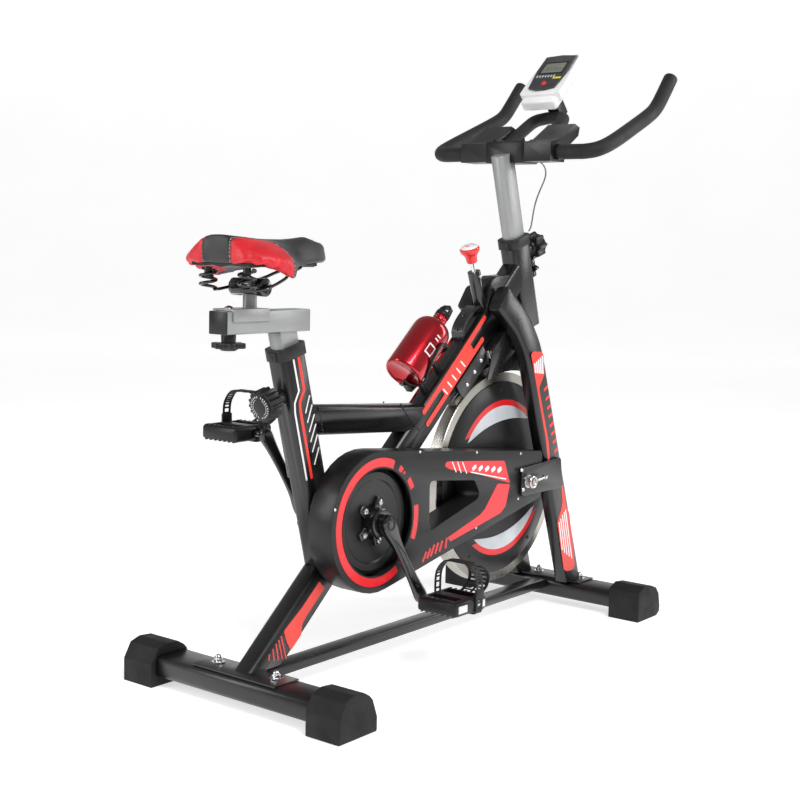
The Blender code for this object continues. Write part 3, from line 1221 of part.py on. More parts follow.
# Joint axes
hang("crank_pivot", crank_centre, [crank_axle, chainring, arm_left, arm_right])
hang("flywheel_pivot", wheel_centre, [flywheel, sprocket] + covers)
for side, centre in (("left", pedal_left_at), ("right", pedal_right_at)):
    hang(f"pedal_{side}_pivot", at(centre[0], 0, centre[1]), pedals[side])
hang("brake_rod_axis", on_rod(0), [brake_rod, brake_knob])
hang("brake_arm_pivot", at(BRAKE_PIVOT_X, 0, BRAKE_PIVOT_Z), [brake_arm, brake_pad])
hang("seat_post_axis", at(*SEAT_TOP[:1], 0, SEAT_TOP[1]), [seat_post])
hang("saddle_axis", at(PIN_X, 0, slider_mid), [carriage, slider_knob])
hang("saddle_tilt_pivot", at(PIN_X, 0, CLAMP_Z), [saddle_clamp, cushion, springs])
hang("bar_post_axis", at(HEAD_TOP[0], 0, HEAD_TOP[1]), [bar_post, handlebar, clamp, console, console_face, cable])
hang("bottle_pivot", at(*along_main(BOTTLE_S, BOTTLE_N + R)[:1], 0, along_main(BOTTLE_S, BOTTLE_N + R)[1]),
     [bottle, cap])
for piece in PARTS.objects:
    if piece.type == "MESH":
        piece.data.shade_smooth()
        piece.data.set_sharp_from_angle(angle=math.radians(35))
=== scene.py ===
import math

import bmesh
import bpy
from mathutils import Matrix, Vector, noise


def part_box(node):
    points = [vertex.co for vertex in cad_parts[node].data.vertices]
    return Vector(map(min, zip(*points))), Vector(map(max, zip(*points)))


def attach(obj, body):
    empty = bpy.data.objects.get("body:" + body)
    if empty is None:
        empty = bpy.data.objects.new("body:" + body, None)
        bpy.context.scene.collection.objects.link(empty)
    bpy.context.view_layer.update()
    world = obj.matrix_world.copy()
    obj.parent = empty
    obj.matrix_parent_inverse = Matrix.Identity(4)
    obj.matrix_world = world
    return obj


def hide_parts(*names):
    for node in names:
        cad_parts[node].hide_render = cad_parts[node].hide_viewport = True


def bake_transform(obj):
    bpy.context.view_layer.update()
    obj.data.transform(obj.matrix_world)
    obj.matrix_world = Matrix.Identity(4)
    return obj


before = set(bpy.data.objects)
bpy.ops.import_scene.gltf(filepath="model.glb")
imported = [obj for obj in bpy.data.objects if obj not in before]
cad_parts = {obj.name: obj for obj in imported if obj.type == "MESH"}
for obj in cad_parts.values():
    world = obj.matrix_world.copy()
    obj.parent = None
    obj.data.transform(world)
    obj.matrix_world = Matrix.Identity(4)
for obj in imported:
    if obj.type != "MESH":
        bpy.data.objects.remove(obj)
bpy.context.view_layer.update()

# Studio floor and sweep: one pale painted sheet that lies flat under the bike and curves up far behind it.
# It glows a little, so it stays white. These functions give every later finish its colour, gloss and grain.


def finish_of(name, roughness, metallic=0.0, coat=0.0, coat_roughness=0.1, sheen=0.0):
    """A new material whose patterns all read the piece's own Object coordinates."""
    made = bpy.data.materials.new(name)
    made.use_nodes = True
    shader = made.node_tree.nodes["Principled BSDF"]
    shader.inputs["Roughness"].default_value = roughness
    shader.inputs["Metallic"].default_value = metallic
    shader.inputs["Coat Weight"].default_value = coat
    shader.inputs["Coat Roughness"].default_value = coat_roughness
    shader.inputs["Sheen Weight"].default_value = sheen
    shader.inputs["Specular IOR Level"].default_value = 0.5 if coat or metallic else 0.36
    made.node_tree.nodes.new("ShaderNodeTexCoord").name = "place"
    return made


def pattern(made, scale, detail=3.0, stretch=(1, 1, 1), cells=False):
    """A noise or cell texture of that many features a metre, and its value socket."""
    nodes, links = made.node_tree.nodes, made.node_tree.links
    lay = nodes.new("ShaderNodeMapping")
    lay.inputs["Scale"].default_value = stretch
    links.new(nodes["place"].outputs["Object"], lay.inputs["Vector"])
    found = nodes.new("ShaderNodeTexVoronoi" if cells else "ShaderNodeTexNoise")
    found.inputs["Scale"].default_value = scale
    if not cells:
        found.inputs["Detail"].default_value = detail
    links.new(lay.outputs["Vector"], found.inputs["Vector"])
    return found.outputs["Distance" if cells else "Fac"]


def coloured(made, dark, light, scale=5.0, stretch=(1, 1, 1), low=0.3, high=0.7):
    """Colour that drifts between two tones over the piece."""
    nodes, links = made.node_tree.nodes, made.node_tree.links
    ramp = nodes.new("ShaderNodeValToRGB")
    ramp.color_ramp.elements[0].color = (*dark, 1)
    ramp.color_ramp.elements[1].color = (*light, 1)
    ramp.color_ramp.elements[0].position = low
    ramp.color_ramp.elements[1].position = high
    links.new(pattern(made, scale, 4.0, stretch), ramp.inputs["Fac"])
    links.new(ramp.outputs["Color"], nodes["Principled BSDF"].inputs["Base Color"])
    return ramp


def glossed(made, low, high, scale=9.0, stretch=(1, 1, 1)):
    """Roughness that wanders between two values, as handling and dust leave it."""
    nodes, links = made.node_tree.nodes, made.node_tree.links
    spread = nodes.new("ShaderNodeMapRange")
    spread.inputs["From Min"].default_value = 0.3
    spread.inputs["From Max"].default_value = 0.7
    spread.inputs["To Min"].default_value = low
    spread.inputs["To Max"].default_value = high
    links.new(pattern(made, scale, 5.0, stretch), spread.inputs["Value"])
    links.new(spread.outputs["Result"], nodes["Principled BSDF"].inputs["Roughness"])


def grained(made, scale, depth, detail=3.0, stretch=(1, 1, 1), cells=False, strength=1.0):
    """Relief of that depth in metres, laid over any relief there already is."""
    nodes, links = made.node_tree.nodes, made.node_tree.links
    relief = nodes.new("ShaderNodeBump")
    relief.inputs["Distance"].default_value = depth
    relief.inputs["Strength"].default_value = strength
    links.new(pattern(made, scale, detail, stretch, cells), relief.inputs["Height"])
    normal = nodes["Principled BSDF"].inputs["Normal"]
    if normal.links:
        links.new(normal.links[0].from_socket, relief.inputs["Normal"])
    links.new(relief.outputs["Normal"], normal)


def make(name, shape, *finishes, smooth=40):
    """The finished mesh as an object at the origin, with its doubles merged and its faces outwards."""
    bmesh.ops.remove_doubles(shape, verts=shape.verts, dist=2e-6)
    bmesh.ops.recalc_face_normals(shape, faces=shape.faces)
    mesh = bpy.data.meshes.new(name)
    shape.to_mesh(mesh)
    shape.free()
    for finish in finishes:
        mesh.materials.append(finish)
    mesh.shade_smooth()
    if smooth < 180:
        mesh.set_sharp_from_angle(angle=math.radians(smooth))
    made = bpy.data.objects.new(name, mesh)
    bpy.context.scene.collection.objects.link(made)
    return made


FLOOR_REACH = 7.0
studio_white = finish_of("studio_white", 0.7)
glow = studio_white.node_tree.nodes["Principled BSDF"].inputs
glow["Emission Color"].default_value = (1, 1, 1, 1)
glow["Emission Strength"].default_value = 0.62
coloured(studio_white, (0.80, 0.80, 0.805), (0.84, 0.84, 0.845), 1.5)
grained(studio_white, 60, 0.0004)
shape = bmesh.new()
bmesh.ops.create_grid(shape, x_segments=1, y_segments=1, size=FLOOR_REACH)
far_edge = [edge for edge in shape.edges if all(vert.co.x > 0 for vert in edge.verts)]
bmesh.ops.spin(shape, geom=far_edge, cent=(FLOOR_REACH, 0, 4.0), axis=(0, -1, 0), angle=math.radians(86),
               steps=24)
bmesh.ops.rotate(shape, verts=shape.verts, cent=(0, 0, 0), matrix=Matrix.Rotation(math.radians(38), 3, "Z"))
bmesh.ops.translate(shape, verts=shape.verts, vec=(0, 0, -0.0004))
floor = make("studio_floor", shape, studio_white, smooth=180)

# Studio light: a pale, dim room, a wide soft panel over the rider's right shoulder, and two long strips whose
# reflections run down the tubes. The camera stands low behind the bike, to the rider's right.
world = bpy.data.worlds.new("studio")
bpy.context.scene.world = world
world.use_nodes = True
world.node_tree.nodes["Background"].inputs["Color"].default_value = (1.0, 1.0, 1.0, 1)
world.node_tree.nodes["Background"].inputs["Strength"].default_value = 0.30
bpy.context.scene.view_settings.view_transform = "Standard"


def softbox(name, stand, aim, width, height, power):
    light = bpy.data.lights.new(name, "AREA")
    light.shape = "RECTANGLE"
    light.size, light.size_y, light.energy = width, height, power
    made = bpy.data.objects.new(name, light)
    made.location = stand
    made.rotation_euler = (Vector(aim) - Vector(stand)).to_track_quat("-Z", "Y").to_euler()
    bpy.context.scene.collection.objects.link(made)


softbox("key_panel", (-1.2, -2.4, 2.9), (0, 0, 0.4), 1.6, 1.2, 82)
softbox("left_strip", (-2.6, 1.6, 1.6), (0, 0, 0.5), 0.5, 2.0, 28)
softbox("front_strip", (2.3, -1.9, 1.8), (0, 0, 0.6), 0.5, 2.2, 34)

lens = bpy.data.cameras.new("camera")
lens.lens, lens.sensor_width = 62.2915, 36.0
camera = bpy.data.objects.new("camera", lens)
bpy.context.scene.collection.objects.link(camera)
yaw, pitch, roll = (math.radians(angle) for angle in (37.9986, 6.4050, 1.2513))
turned = Matrix.Rotation(yaw - math.pi / 2, 4, "Z") @ Matrix.Rotation(math.pi / 2 - pitch, 4, "X")
camera.matrix_world = Matrix.Translation((-2.04346, -1.52363, 0.74299)) @ turned @ Matrix.Rotation(roll, 4,
    "Z")
bpy.context.scene.camera = camera

# Sensor cable: a thin grey PVC lead that leaves the console bracket, hangs in a loose bow before the bar post
# and goes into the head tube. It has slack for the post's travel; here it is one fixed curve that rides on no
# body.
CABLE = 0.003  # across
CABLE_RUN = [(0.2776, -0.022, 0.917), (0.3226, -0.022, 0.908), (0.3366, -0.021, 0.886),
             (0.3136, -0.020, 0.848),
             (0.3006, -0.020, 0.822), (0.2911, -0.020, 0.786), (0.2881, -0.0165, 0.7745)]


def flowing(points, steps=6):
    """Points along a smooth line through the given ones."""
    path = [Vector(point) for point in points]
    ends = [2 * path[0] - path[1]] + path + [2 * path[-1] - path[-2]]
    found = []
    for a, b, c, d in zip(ends, ends[1:], ends[2:], ends[3:]):
        for step in range(steps):
            t = step / steps
            bend = 2 * b + (c - a) * t + (2 * a - 5 * b + 4 * c - d) * t**2
            found.append((bend + (3 * b - a - 3 * c + d) * t**3) / 2)
    return found + [path[-1]]


def drawn(points, radius, sides=3, closed=False):
    """A round wire or tube drawn along the points."""
    data = bpy.data.curves.new("line", "CURVE")
    data.dimensions = "3D"
    line = data.splines.new("POLY")
    line.points.add(len(points) - 1)
    for knot, point in zip(line.points, points):
        knot.co = (*point, 1)
    line.use_cyclic_u = closed
    data.bevel_depth, data.bevel_resolution, data.use_fill_caps = radius, sides, True
    line = bpy.data.objects.new("line", data)
    bpy.context.scene.collection.objects.link(line)
    bpy.context.view_layer.update()
    mesh = bpy.data.meshes.new_from_object(line.evaluated_get(bpy.context.evaluated_depsgraph_get()))
    shape = bmesh.new()
    shape.from_mesh(mesh)
    bpy.data.objects.remove(line)
    bmesh.ops.remove_doubles(shape, verts=shape.verts, dist=2e-6)
    return shape


grey_lead = finish_of("grey_lead", 0.45)
coloured(grey_lead, (0.16, 0.16, 0.165), (0.24, 0.24, 0.245), 40)
glossed(grey_lead, 0.35, 0.6, 120)
grained(grey_lead, 1500, 0.00005)
cable_path = flowing(CABLE_RUN, 5)
cable = make("sensor_lead", drawn(cable_path, CABLE / 2, 4), grey_lead, smooth=60)
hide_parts("sensor_cable")
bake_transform(cable)

# Stabilizer tubes, flanges and the long base tube: flat-oval and square steel tube, powder coated black.
# Each CAD piece keeps its shape and gets its rolled edges and its coat here.
black_coat = finish_of("black_coat", 0.36, coat=0.25, coat_roughness=0.3)
coloured(black_coat, (0.0035, 0.0035, 0.004), (0.006, 0.006, 0.0065), 7)
glossed(black_coat, 0.26, 0.38, 14)
grained(black_coat, 700, 0.00012)
grained(black_coat, 60, 0.0002, strength=0.35)


def dress(node, finish, edge=0.0008, rounds=2, angle=32):
    """Gives a CAD node its finish, and rounds its sharp edges by that much."""
    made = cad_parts[node]
    for held in made.material_slots:
        held.material = finish
    if not made.material_slots:
        made.data.materials.append(finish)
    made.data.shade_smooth()
    weld = made.modifiers.new("weld", "WELD")
    weld.merge_threshold = 0.00002
    flat = made.modifiers.new("flat", "DECIMATE")
    flat.decimate_type, flat.angle_limit = "DISSOLVE", math.radians(1.2)
    soft = made.modifiers.new("edges", "BEVEL")
    soft.width, soft.segments, soft.limit_method = edge, rounds, "ANGLE"
    soft.angle_limit, soft.harden_normals, soft.use_clamp_overlap = math.radians(angle), True, True
    return made


for node in ("rear_stabilizer", "front_stabilizer", "front_flange"):
    dress(node, black_coat, 0.0007)
dress("base_tube", black_coat, 0.0012, 3)

# Feet: moulded rubber end caps, pushed on the stabilizer tubes. Each has faceted shoulders, a sunk label
# panel with grip bars on its outer end, and a moulding line round the panel.
black_rubber = finish_of("black_rubber", 0.7)
coloured(black_rubber, (0.007, 0.007, 0.0075), (0.013, 0.013, 0.0135), 18)
glossed(black_rubber, 0.55, 0.78, 30)
grained(black_rubber, 1300, 0.00018)
grained(black_rubber, 130, 0.0002, strength=0.4)


def block(low, high, edge=0.0, rounds=2, shape=None):
    """A box between two corners with its edges rolled, added to the shape."""
    shape = shape or bmesh.new()
    made = bmesh.ops.create_cube(shape, size=1.0)["verts"]
    for vert in made:
        vert.co = [low[i] + (vert.co[i] + 0.5) * (high[i] - low[i]) for i in range(3)]
    if edge:
        edges = {line for vert in made for line in vert.link_edges}
        bmesh.ops.bevel(shape, geom=list(edges), offset=edge, segments=rounds, profile=0.5, affect="EDGES",
                        material=-1)
    return shape


for end in ("rear", "front"):
    for side, sign in (("left", 1), ("right", -1)):
        node = f"{end}_foot_{side}"
        dress(node, black_rubber, 0.0028, 4, 12)
        low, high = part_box(node)
        mid, outer = (low.x + high.x) / 2, sign * 0.2401
        shape = bmesh.new()
        for x0, x1, z0, z1 in ((-0.0215, 0.0215, 0.013, 0.0145), (-0.0215, 0.0215, 0.0325, 0.034),
                               (-0.0215, -0.020, 0.013, 0.034), (0.020, 0.0215, 0.013, 0.034)):
            block((mid + x0, min(outer, outer - sign * 0.0035), z0),
                  (mid + x1, max(outer, outer - sign * 0.0035), z1),
                  0.0003, 1, shape)
        for bar in range(5):
            x = mid - 0.013 + 0.0058 * bar
            block((x, min(outer, outer - sign * 0.003), 0.0165),
                  (x + 0.0028, max(outer, outer - sign * 0.003), 0.0305),
                  0.0003, 1, shape)
        panel = make(f"{end}_foot_panel_{side}", shape, black_rubber)
        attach(panel, "frame")

# Carriage bolts that hold the stabilizers: a chrome acorn nut on a washer at each, through the flange plate.
bright_chrome = finish_of("bright_chrome", 0.12, 1.0)
coloured(bright_chrome, (0.66, 0.67, 0.69), (0.80, 0.81, 0.83), 60)
glossed(bright_chrome, 0.07, 0.20, 90)
grained(bright_chrome, 900, 0.00003)


def upright(point, direction=(0, 0, 1)):
    """The placing whose Z runs along direction from the point."""
    return Matrix.Translation(point) @ Vector(direction).normalized().to_track_quat("Z",
        "Y").to_matrix().to_4x4()


def spun(profile, place, steps=48, shape=None):
    """A profile of (radius, height) points turned about the placing's Z, added to the shape."""
    shape = shape or bmesh.new()
    old = set(shape.verts)
    line = [shape.verts.new((max(radius, 0.0), 0, height)) for radius, height in profile]
    edges = [shape.edges.new(pair) for pair in zip(line, line[1:])]
    if profile[0][0] > 0 and profile[-1][0] > 0:
        edges.append(shape.edges.new((line[-1], line[0])))
    bmesh.ops.spin(shape, geom=line + edges, cent=(0, 0, 0), axis=(0, 0, 1), angle=2 * math.pi, steps=steps,
                   use_merge=True)
    new = [vert for vert in shape.verts if vert not in old]
    bmesh.ops.remove_doubles(shape, verts=new, dist=1e-6)
    new = [vert for vert in shape.verts if vert not in old]
    bmesh.ops.transform(shape, matrix=place, verts=new)
    return shape


def hexagon(place, across, low, high, shape, edge=0.0004, sides=6):
    """A nut's or a screw head's flats, added to the shape."""
    made = bmesh.ops.create_cone(shape, cap_ends=True, segments=sides, radius1=across / 2, radius2=across / 2,
                                 depth=high - low, matrix=place @ Matrix.Translation((0, 0,
                                     (low + high) / 2)))["verts"]
    edges = {line for vert in made for line in vert.link_edges}
    bmesh.ops.bevel(shape, geom=list(edges), offset=edge, segments=2, profile=0.5, affect="EDGES",
                    material=-1)
    return shape


def acorn_nut(shape, place, size=0.0135):
    hexagon(place, size * 1.12, 0.0012, 0.0012 + size * 0.45, shape)
    top = 0.0010 + size * 0.45
    spun([(0, top + size * 0.50), (size * 0.18, top + size * 0.46), (size * 0.33, top + size * 0.33),
          (size * 0.40, top + size * 0.14), (size * 0.41, top), (0, top)], place, 24, shape)
    spun([(0, 0.0016), (size * 0.78, 0.0016), (size * 0.82, 0.0012), (size * 0.82, 0), (0, 0)], place, 32,
         shape)


shape = bmesh.new()
for x, y in ((-0.4794, -0.065), (-0.4794, 0.065), (0.4356, -0.075), (0.4356, 0.075), (0.4356, -0.025),
             (0.4356, 0.025)):
    acorn_nut(shape, upright((x, y, 0.0554)))
nuts = make("stabilizer_nuts", shape, bright_chrome, smooth=35)
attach(nuts, "frame")

# Frame tubes: flat-sided oval steel tube, MIG welded where they meet and powder coated black as one.
# The welds are laid as small beads along each joint.
for node in ("main_tube", "seat_tube", "middle_tube", "head_tube", "fork_leg_left", "fork_leg_right"):
    dress(node, black_coat, 0.0006)
dress("bottom_bracket_shell", black_coat, 0.0008)


def weld_bead(shape, points, radius=0.0019):
    """A row of overlapping weld ripples along the points."""
    path = flowing(points, 6)
    for index, point in enumerate(path):
        grow = radius * (1.0 + 0.12 * math.sin(index * 1.7))
        bmesh.ops.create_icosphere(shape, subdivisions=1, radius=grow, matrix=Matrix.Translation(point))


shape = bmesh.new()
for sign in (-1, 1):
    weld_bead(shape, [(-0.340, sign * 0.0198, 0.2745), (-0.3325, sign * 0.0198, 0.2585),
                      (-0.3205, sign * 0.0198, 0.2455),
                      (-0.309, sign * 0.0198, 0.2385)])
    weld_bead(shape, [(-0.3375, sign * 0.0198, 0.4755), (-0.3315, sign * 0.0198, 0.4560),
                      (-0.3255, sign * 0.0198, 0.4300)])
    weld_bead(shape, [(-0.1155, sign * 0.0198, 0.4610), (-0.0920, sign * 0.0198, 0.4360),
                      (-0.0620, sign * 0.0198, 0.4108)])
welds = make("frame_welds", shape, black_coat, smooth=180)
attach(welds, "frame")

# Printed film on the tubes: red and white vinyl, cut to shape and stuck on both faces of each tube, a fifth of a
# millimetre thick. The words of a real one are left as plain bars and blocks.
FILM = 0.0002
red_film = finish_of("red_film", 0.34, coat=0.2)
coloured(red_film, (0.80, 0.028, 0.014), (0.88, 0.042, 0.022), 22)
glossed(red_film, 0.28, 0.42, 30)
grained(red_film, 500, 0.00004)
white_film = finish_of("white_film", 0.34, coat=0.2)
coloured(white_film, (0.80, 0.80, 0.80), (0.88, 0.88, 0.88), 22)
glossed(white_film, 0.28, 0.42, 30)
grained(white_film, 500, 0.00004)


def ribbon(points, width):
    """The outline of a band that wide along the points, its ends square."""
    path = [Vector(point) for point in points]
    left, right = [], []
    for index, point in enumerate(path):
        ahead = path[min(index + 1, len(path) - 1)] - path[max(index - 1, 0)]
        normal = Vector((-ahead.y, ahead.x)).normalized() * (width / 2)
        left.append(point + normal)
        right.append(point - normal)
    return left + right[::-1]


def capsule(first, second, half):
    """The outline of a band with round ends between two points."""
    heading = math.atan2(second[1] - first[1], second[0] - first[0])
    found = []
    for centre, start in ((second, heading - math.pi / 2), (first, heading + math.pi / 2)):
        found += [(centre[0] + half * math.cos(start + math.pi * i / 8),
                   centre[1] + half * math.sin(start + math.pi * i / 8))
                  for i in range(9)]
    return found


def rounded(outline, radius, steps=3):
    """The outline with each corner cut to a small curve."""
    path = [Vector(point) for point in outline]
    found = []
    for index, corner in enumerate(path):
        before, after = path[index - 1] - corner, path[(index + 1) % len(path)] - corner
        reach = min(radius, before.length * 0.45, after.length * 0.45)
        a, b = corner + before.normalized() * reach, corner + after.normalized() * reach
        for step in range(steps + 1):
            t = step / steps
            found.append(a * (1 - t) ** 2 + corner * (2 * t * (1 - t)) + b * t * t)
    return found


def raised(shape, faces, way):
    """Draws the faces up by that much, and gives the points that moved."""
    grown = bmesh.ops.extrude_face_region(shape, geom=faces)["geom"]
    moved = [item for item in grown if isinstance(item, bmesh.types.BMVert)]
    bmesh.ops.translate(shape, verts=moved, vec=way)
    return moved


def film(name, outlines, face, finish, body="frame", lift=0.0, sides=(-1, 1)):
    """Shapes cut from film and laid on the faces at that y, in the side plane."""
    shape = bmesh.new()
    for sign in sides:
        for outline in outlines:
            base = shape.faces.new([shape.verts.new((point[0], sign * (face + lift), point[1]))
                                    for point in outline])
            raised(shape, [base], (0, sign * FILM, 0))
    made = make(name, shape, finish, smooth=30)
    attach(made, body)
    return made


SIDE_FACE = 0.0201
seat_red = ribbon([(-0.3889, 0.562), (-0.3732, 0.5051), (-0.3831, 0.4846), (-0.3812, 0.4706),
                   (-0.3509, 0.3552)], 0.0062)
seat_white = ribbon([(-0.400, 0.5564), (-0.3856, 0.5037), (-0.3954, 0.4837), (-0.394, 0.4672),
                     (-0.3635, 0.3537)], 0.0038)
film("seat_tube_red", [rounded(seat_red, 0.003)], SIDE_FACE, red_film)
lower = [(-0.3686, 0.467), (-0.3634, 0.4507), (-0.3587, 0.4348), (-0.355, 0.4178), (-0.3502, 0.4006),
         (-0.3448, 0.3791)]
upper = [(-0.3599, 0.4939), (-0.3536, 0.4779), (-0.3477, 0.4616), (-0.3435, 0.4453), (-0.3392, 0.4274),
         (-0.3348, 0.4057)]
film("seat_tube_white", [rounded(seat_white, 0.002)] + [capsule(a, b, 0.0013) for a, b in zip(lower, upper)],
     SIDE_FACE, white_film)

lower_block = [(-0.3285, 0.1778), (-0.3145, 0.1637), (-0.3587, 0.1251), (-0.3695, 0.1132), (-0.3719, 0.0947),
               (-0.3971, 0.0736), (-0.4072, 0.0898), (-0.4145, 0.1101), (-0.3712, 0.1409)]
tops = [(-0.4208, 0.1032), (-0.4265, 0.0977), (-0.4328, 0.0927), (-0.4401, 0.0858), (-0.4483, 0.0783)]
feet = [(-0.4088, 0.0630), (-0.4174, 0.0635), (-0.427, 0.0645), (-0.4371, 0.0660), (-0.4492, 0.0680)]
film("main_tube_red", [rounded(lower_block, 0.003)] + [ribbon([a, b], 0.0028) for a, b in zip(tops, feet)],
     SIDE_FACE, red_film)
film("main_tube_stripes", [capsule((0.137, 0.6075), (-0.0469, 0.4419), 0.0052),
                           capsule((0.1322, 0.566), (-0.035, 0.4187), 0.0052)],
     SIDE_FACE, red_film)
film("main_tube_block", [rounded([(0.088, 0.5634), (0.108, 0.5447), (0.018, 0.4654), (0.0, 0.4842)], 0.003)],
     SIDE_FACE,
     red_film, lift=0.0001)
letters = [capsule((0.010 + 0.0135 * i, 0.4790 + 0.0121 * i),
                   (0.0225 + 0.0135 * i, 0.4860 + 0.0121 * i - 0.016), 0.0016)
           for i in range(5)]
film("main_tube_bars", letters, SIDE_FACE, white_film, lift=FILM + 0.0001)

LEG_FACE = 0.0751
leg_red = [(0.2195, 0.5379), (0.2271, 0.5422), (0.2573, 0.5407), (0.2644, 0.5357), (0.2703, 0.4952),
           (0.2528, 0.4708),
           (0.257, 0.4577), (0.2938, 0.3606), (0.3085, 0.2917), (0.3324, 0.2813), (0.3485, 0.2748),
           (0.3652, 0.2391),
           (0.3692, 0.2213), (0.3843, 0.2019), (0.4142, 0.0881), (0.4074, 0.0795), (0.3816, 0.0801),
           (0.3703, 0.0859),
           (0.3384, 0.1892), (0.3511, 0.2123), (0.3558, 0.2289), (0.3475, 0.2681), (0.315, 0.2777),
           (0.3004, 0.2889),
           (0.2854, 0.3614), (0.2472, 0.4639)]
film("leg_red", [rounded(leg_red, 0.004)], LEG_FACE, red_film)
bar_tops = [(0.2338, 0.5191), (0.2403, 0.5224), (0.2468, 0.5257), (0.2533, 0.529), (0.2598, 0.5323)]
bar_feet = [(0.2376, 0.5001), (0.2444, 0.4992), (0.2512, 0.4984), (0.2579, 0.4975), (0.2647, 0.4967)]
low_tops = [(0.3456, 0.1882), (0.3508, 0.1951), (0.3568, 0.2019), (0.363, 0.2068), (0.3685, 0.211)]
low_feet = [(0.3617, 0.128), (0.3716, 0.1206), (0.3807, 0.1152), (0.3906, 0.1097), (0.4005, 0.1041)]
film("leg_bars", [ribbon([a, b], 0.0042) for a, b in zip(bar_tops, bar_feet)]
     + [ribbon([a, b], 0.0036) for a, b in zip(low_tops, low_feet)], LEG_FACE, white_film, lift=FILM)
dashes = [(0.2667, 0.4644), (0.2747, 0.4454), (0.2814, 0.4265), (0.2872, 0.4094), (0.2933, 0.3904),
          (0.2999, 0.373),
          (0.3066, 0.3556), (0.3134, 0.3362)]
film("leg_dashes", [ribbon([(x + 0.0035, z - 0.001), (x + 0.0175, z + 0.0065)], 0.0062) for x, z in dashes]
     + [rounded([(0.311, 0.3196), (0.3338, 0.3133), (0.3424, 0.2915), (0.3245, 0.2943)], 0.003)], LEG_FACE,
     red_film)

# Flywheel: a cast and turned steel disc with a bright rim, whose belt wear shows as fine rings. A dished black
# plastic cover is screwed on each face, with a printed crescent at its top and its bottom.
WHEEL = Vector((0.2126, 0, 0.290))
RIM, WHEEL_HALF, COVER_EDGE, COVER_FACE = 0.208, 0.013, 0.190, 0.019
turned_steel = finish_of("turned_steel", 0.26, 1.0)
coloured(turned_steel, (0.36, 0.34, 0.31), (0.52, 0.50, 0.46), 9)
glossed(turned_steel, 0.20, 0.36, 14, (1, 60, 1))
grained(turned_steel, 40, 0.00010, 4.0, (1, 60, 1))
ACROSS = upright(WHEEL, (0, -1, 0))
shape = spun([(RIM - 0.0012, WHEEL_HALF), (RIM, WHEEL_HALF - 0.0012), (RIM, -WHEEL_HALF + 0.0012),
              (RIM - 0.0012, -WHEEL_HALF),
              (COVER_EDGE + 0.0004, -WHEEL_HALF), (COVER_EDGE - 0.001, -0.0095), (0.028, -0.009),
              (0.028, -0.0220),
              (0.0270, -0.0225), (0.0075, -0.0225), (0.0075, 0.0225), (0.0270, 0.0225), (0.028, 0.0220),
              (0.028, 0.009),
              (COVER_EDGE - 0.001, 0.0095), (COVER_EDGE + 0.0004, WHEEL_HALF)], ACROSS, 144)
wheel = make("flywheel_disc", shape, turned_steel, smooth=30)
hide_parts("flywheel")
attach(wheel, "flywheel_set")

satin_plastic = finish_of("satin_plastic", 0.42)
coloured(satin_plastic, (0.008, 0.008, 0.0085), (0.014, 0.014, 0.0145), 8)
glossed(satin_plastic, 0.28, 0.42, 16)
grained(satin_plastic, 1100, 0.00006)
guard_red = finish_of("guard_red", 0.32, coat=0.25)
coloured(guard_red, (0.70, 0.005, 0.010), (0.80, 0.009, 0.016), 20)
glossed(guard_red, 0.26, 0.40, 26)
grained(guard_red, 500, 0.00004)
grey_film = finish_of("grey_film", 0.34)
coloured(grey_film, (0.50, 0.52, 0.55), (0.70, 0.72, 0.75), 14)
glossed(grey_film, 0.28, 0.42, 30)
grained(grey_film, 500, 0.00004)
for side, sign in (("right", -1), ("left", 1)):
    place = upright(WHEEL, (0, sign, 0))
    shape = spun([(COVER_EDGE - 0.0003, 0.0094), (0.0284, 0.0094), (0.0284, 0.0142), (0.0300, 0.0149),
                  (0.0540, 0.0150),
                  (0.0600, COVER_FACE - 0.0006), (0.0620, COVER_FACE), (0.1560, COVER_FACE),
                  (0.1600, COVER_FACE - 0.0003),
                  (COVER_EDGE - 0.002, 0.0151), (COVER_EDGE - 0.0003, 0.0140)], place, 128)
    cover = make(f"wheel_cover_{side}", shape, satin_plastic, smooth=30)
    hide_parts(f"flywheel_cover_{side}")
    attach(cover, "flywheel_set")


def crescent(first, second, outer, inner, centre, steps=24):
    """The outline between two arcs of those radii about the centre, drawn to a point at both its ends."""
    a, b = (math.atan2(point[1] - centre[1], point[0] - centre[0]) for point in (first, second))
    if b < a:
        b += 2 * math.pi
    rim, inside = [], []
    for step in range(steps + 1):
        t = step / steps
        angle, thick = a + (b - a) * t, math.sin(math.pi * t) ** 0.7
        for line, radius in ((rim, outer), (inside, outer - (outer - inner) * thick)):
            line.append((centre[0] + radius * math.cos(angle), centre[1] + radius * math.sin(angle)))
    return rim + inside[::-1][1:-1]


def face_prints(name, spans, finish, lift):
    """Crescents printed on both covers, on the flat that they share."""
    film(name, [crescent(*span) for span in spans], COVER_FACE + 0.0001, finish, "flywheel_set", lift)


HUB = (0.2126, 0.290)
face_prints("cover_red", [((0.118, 0.168), (0.345, 0.211), 0.1545, 0.1150, HUB),
                          ((0.312, 0.410), (0.092, 0.372), 0.1545, 0.1150, HUB)],
            guard_red, 0)
face_prints("cover_grey", [((0.124, 0.178), (0.336, 0.218), 0.1430, 0.1130, HUB),
                           ((0.304, 0.402), (0.100, 0.366), 0.1430, 0.1130, HUB)],
            grey_film, FILM)
shape = bmesh.new()
for sign in (-1, 1):
    for angle in (20, 92, 164, 236, 308):
        stand = WHEEL + Vector((0.174 * math.cos(math.radians(angle)), sign * 0.0172,
                                0.174 * math.sin(math.radians(angle))))
        spun([(0, 0.0016), (0.0028, 0.0011), (0.0036, 0), (0, 0)], upright(stand, (0, sign, 0)), 16, shape)
screws = make("cover_screws", shape, satin_plastic)
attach(screws, "flywheel_set")
dress("flywheel_sprocket", turned_steel, 0.0004)

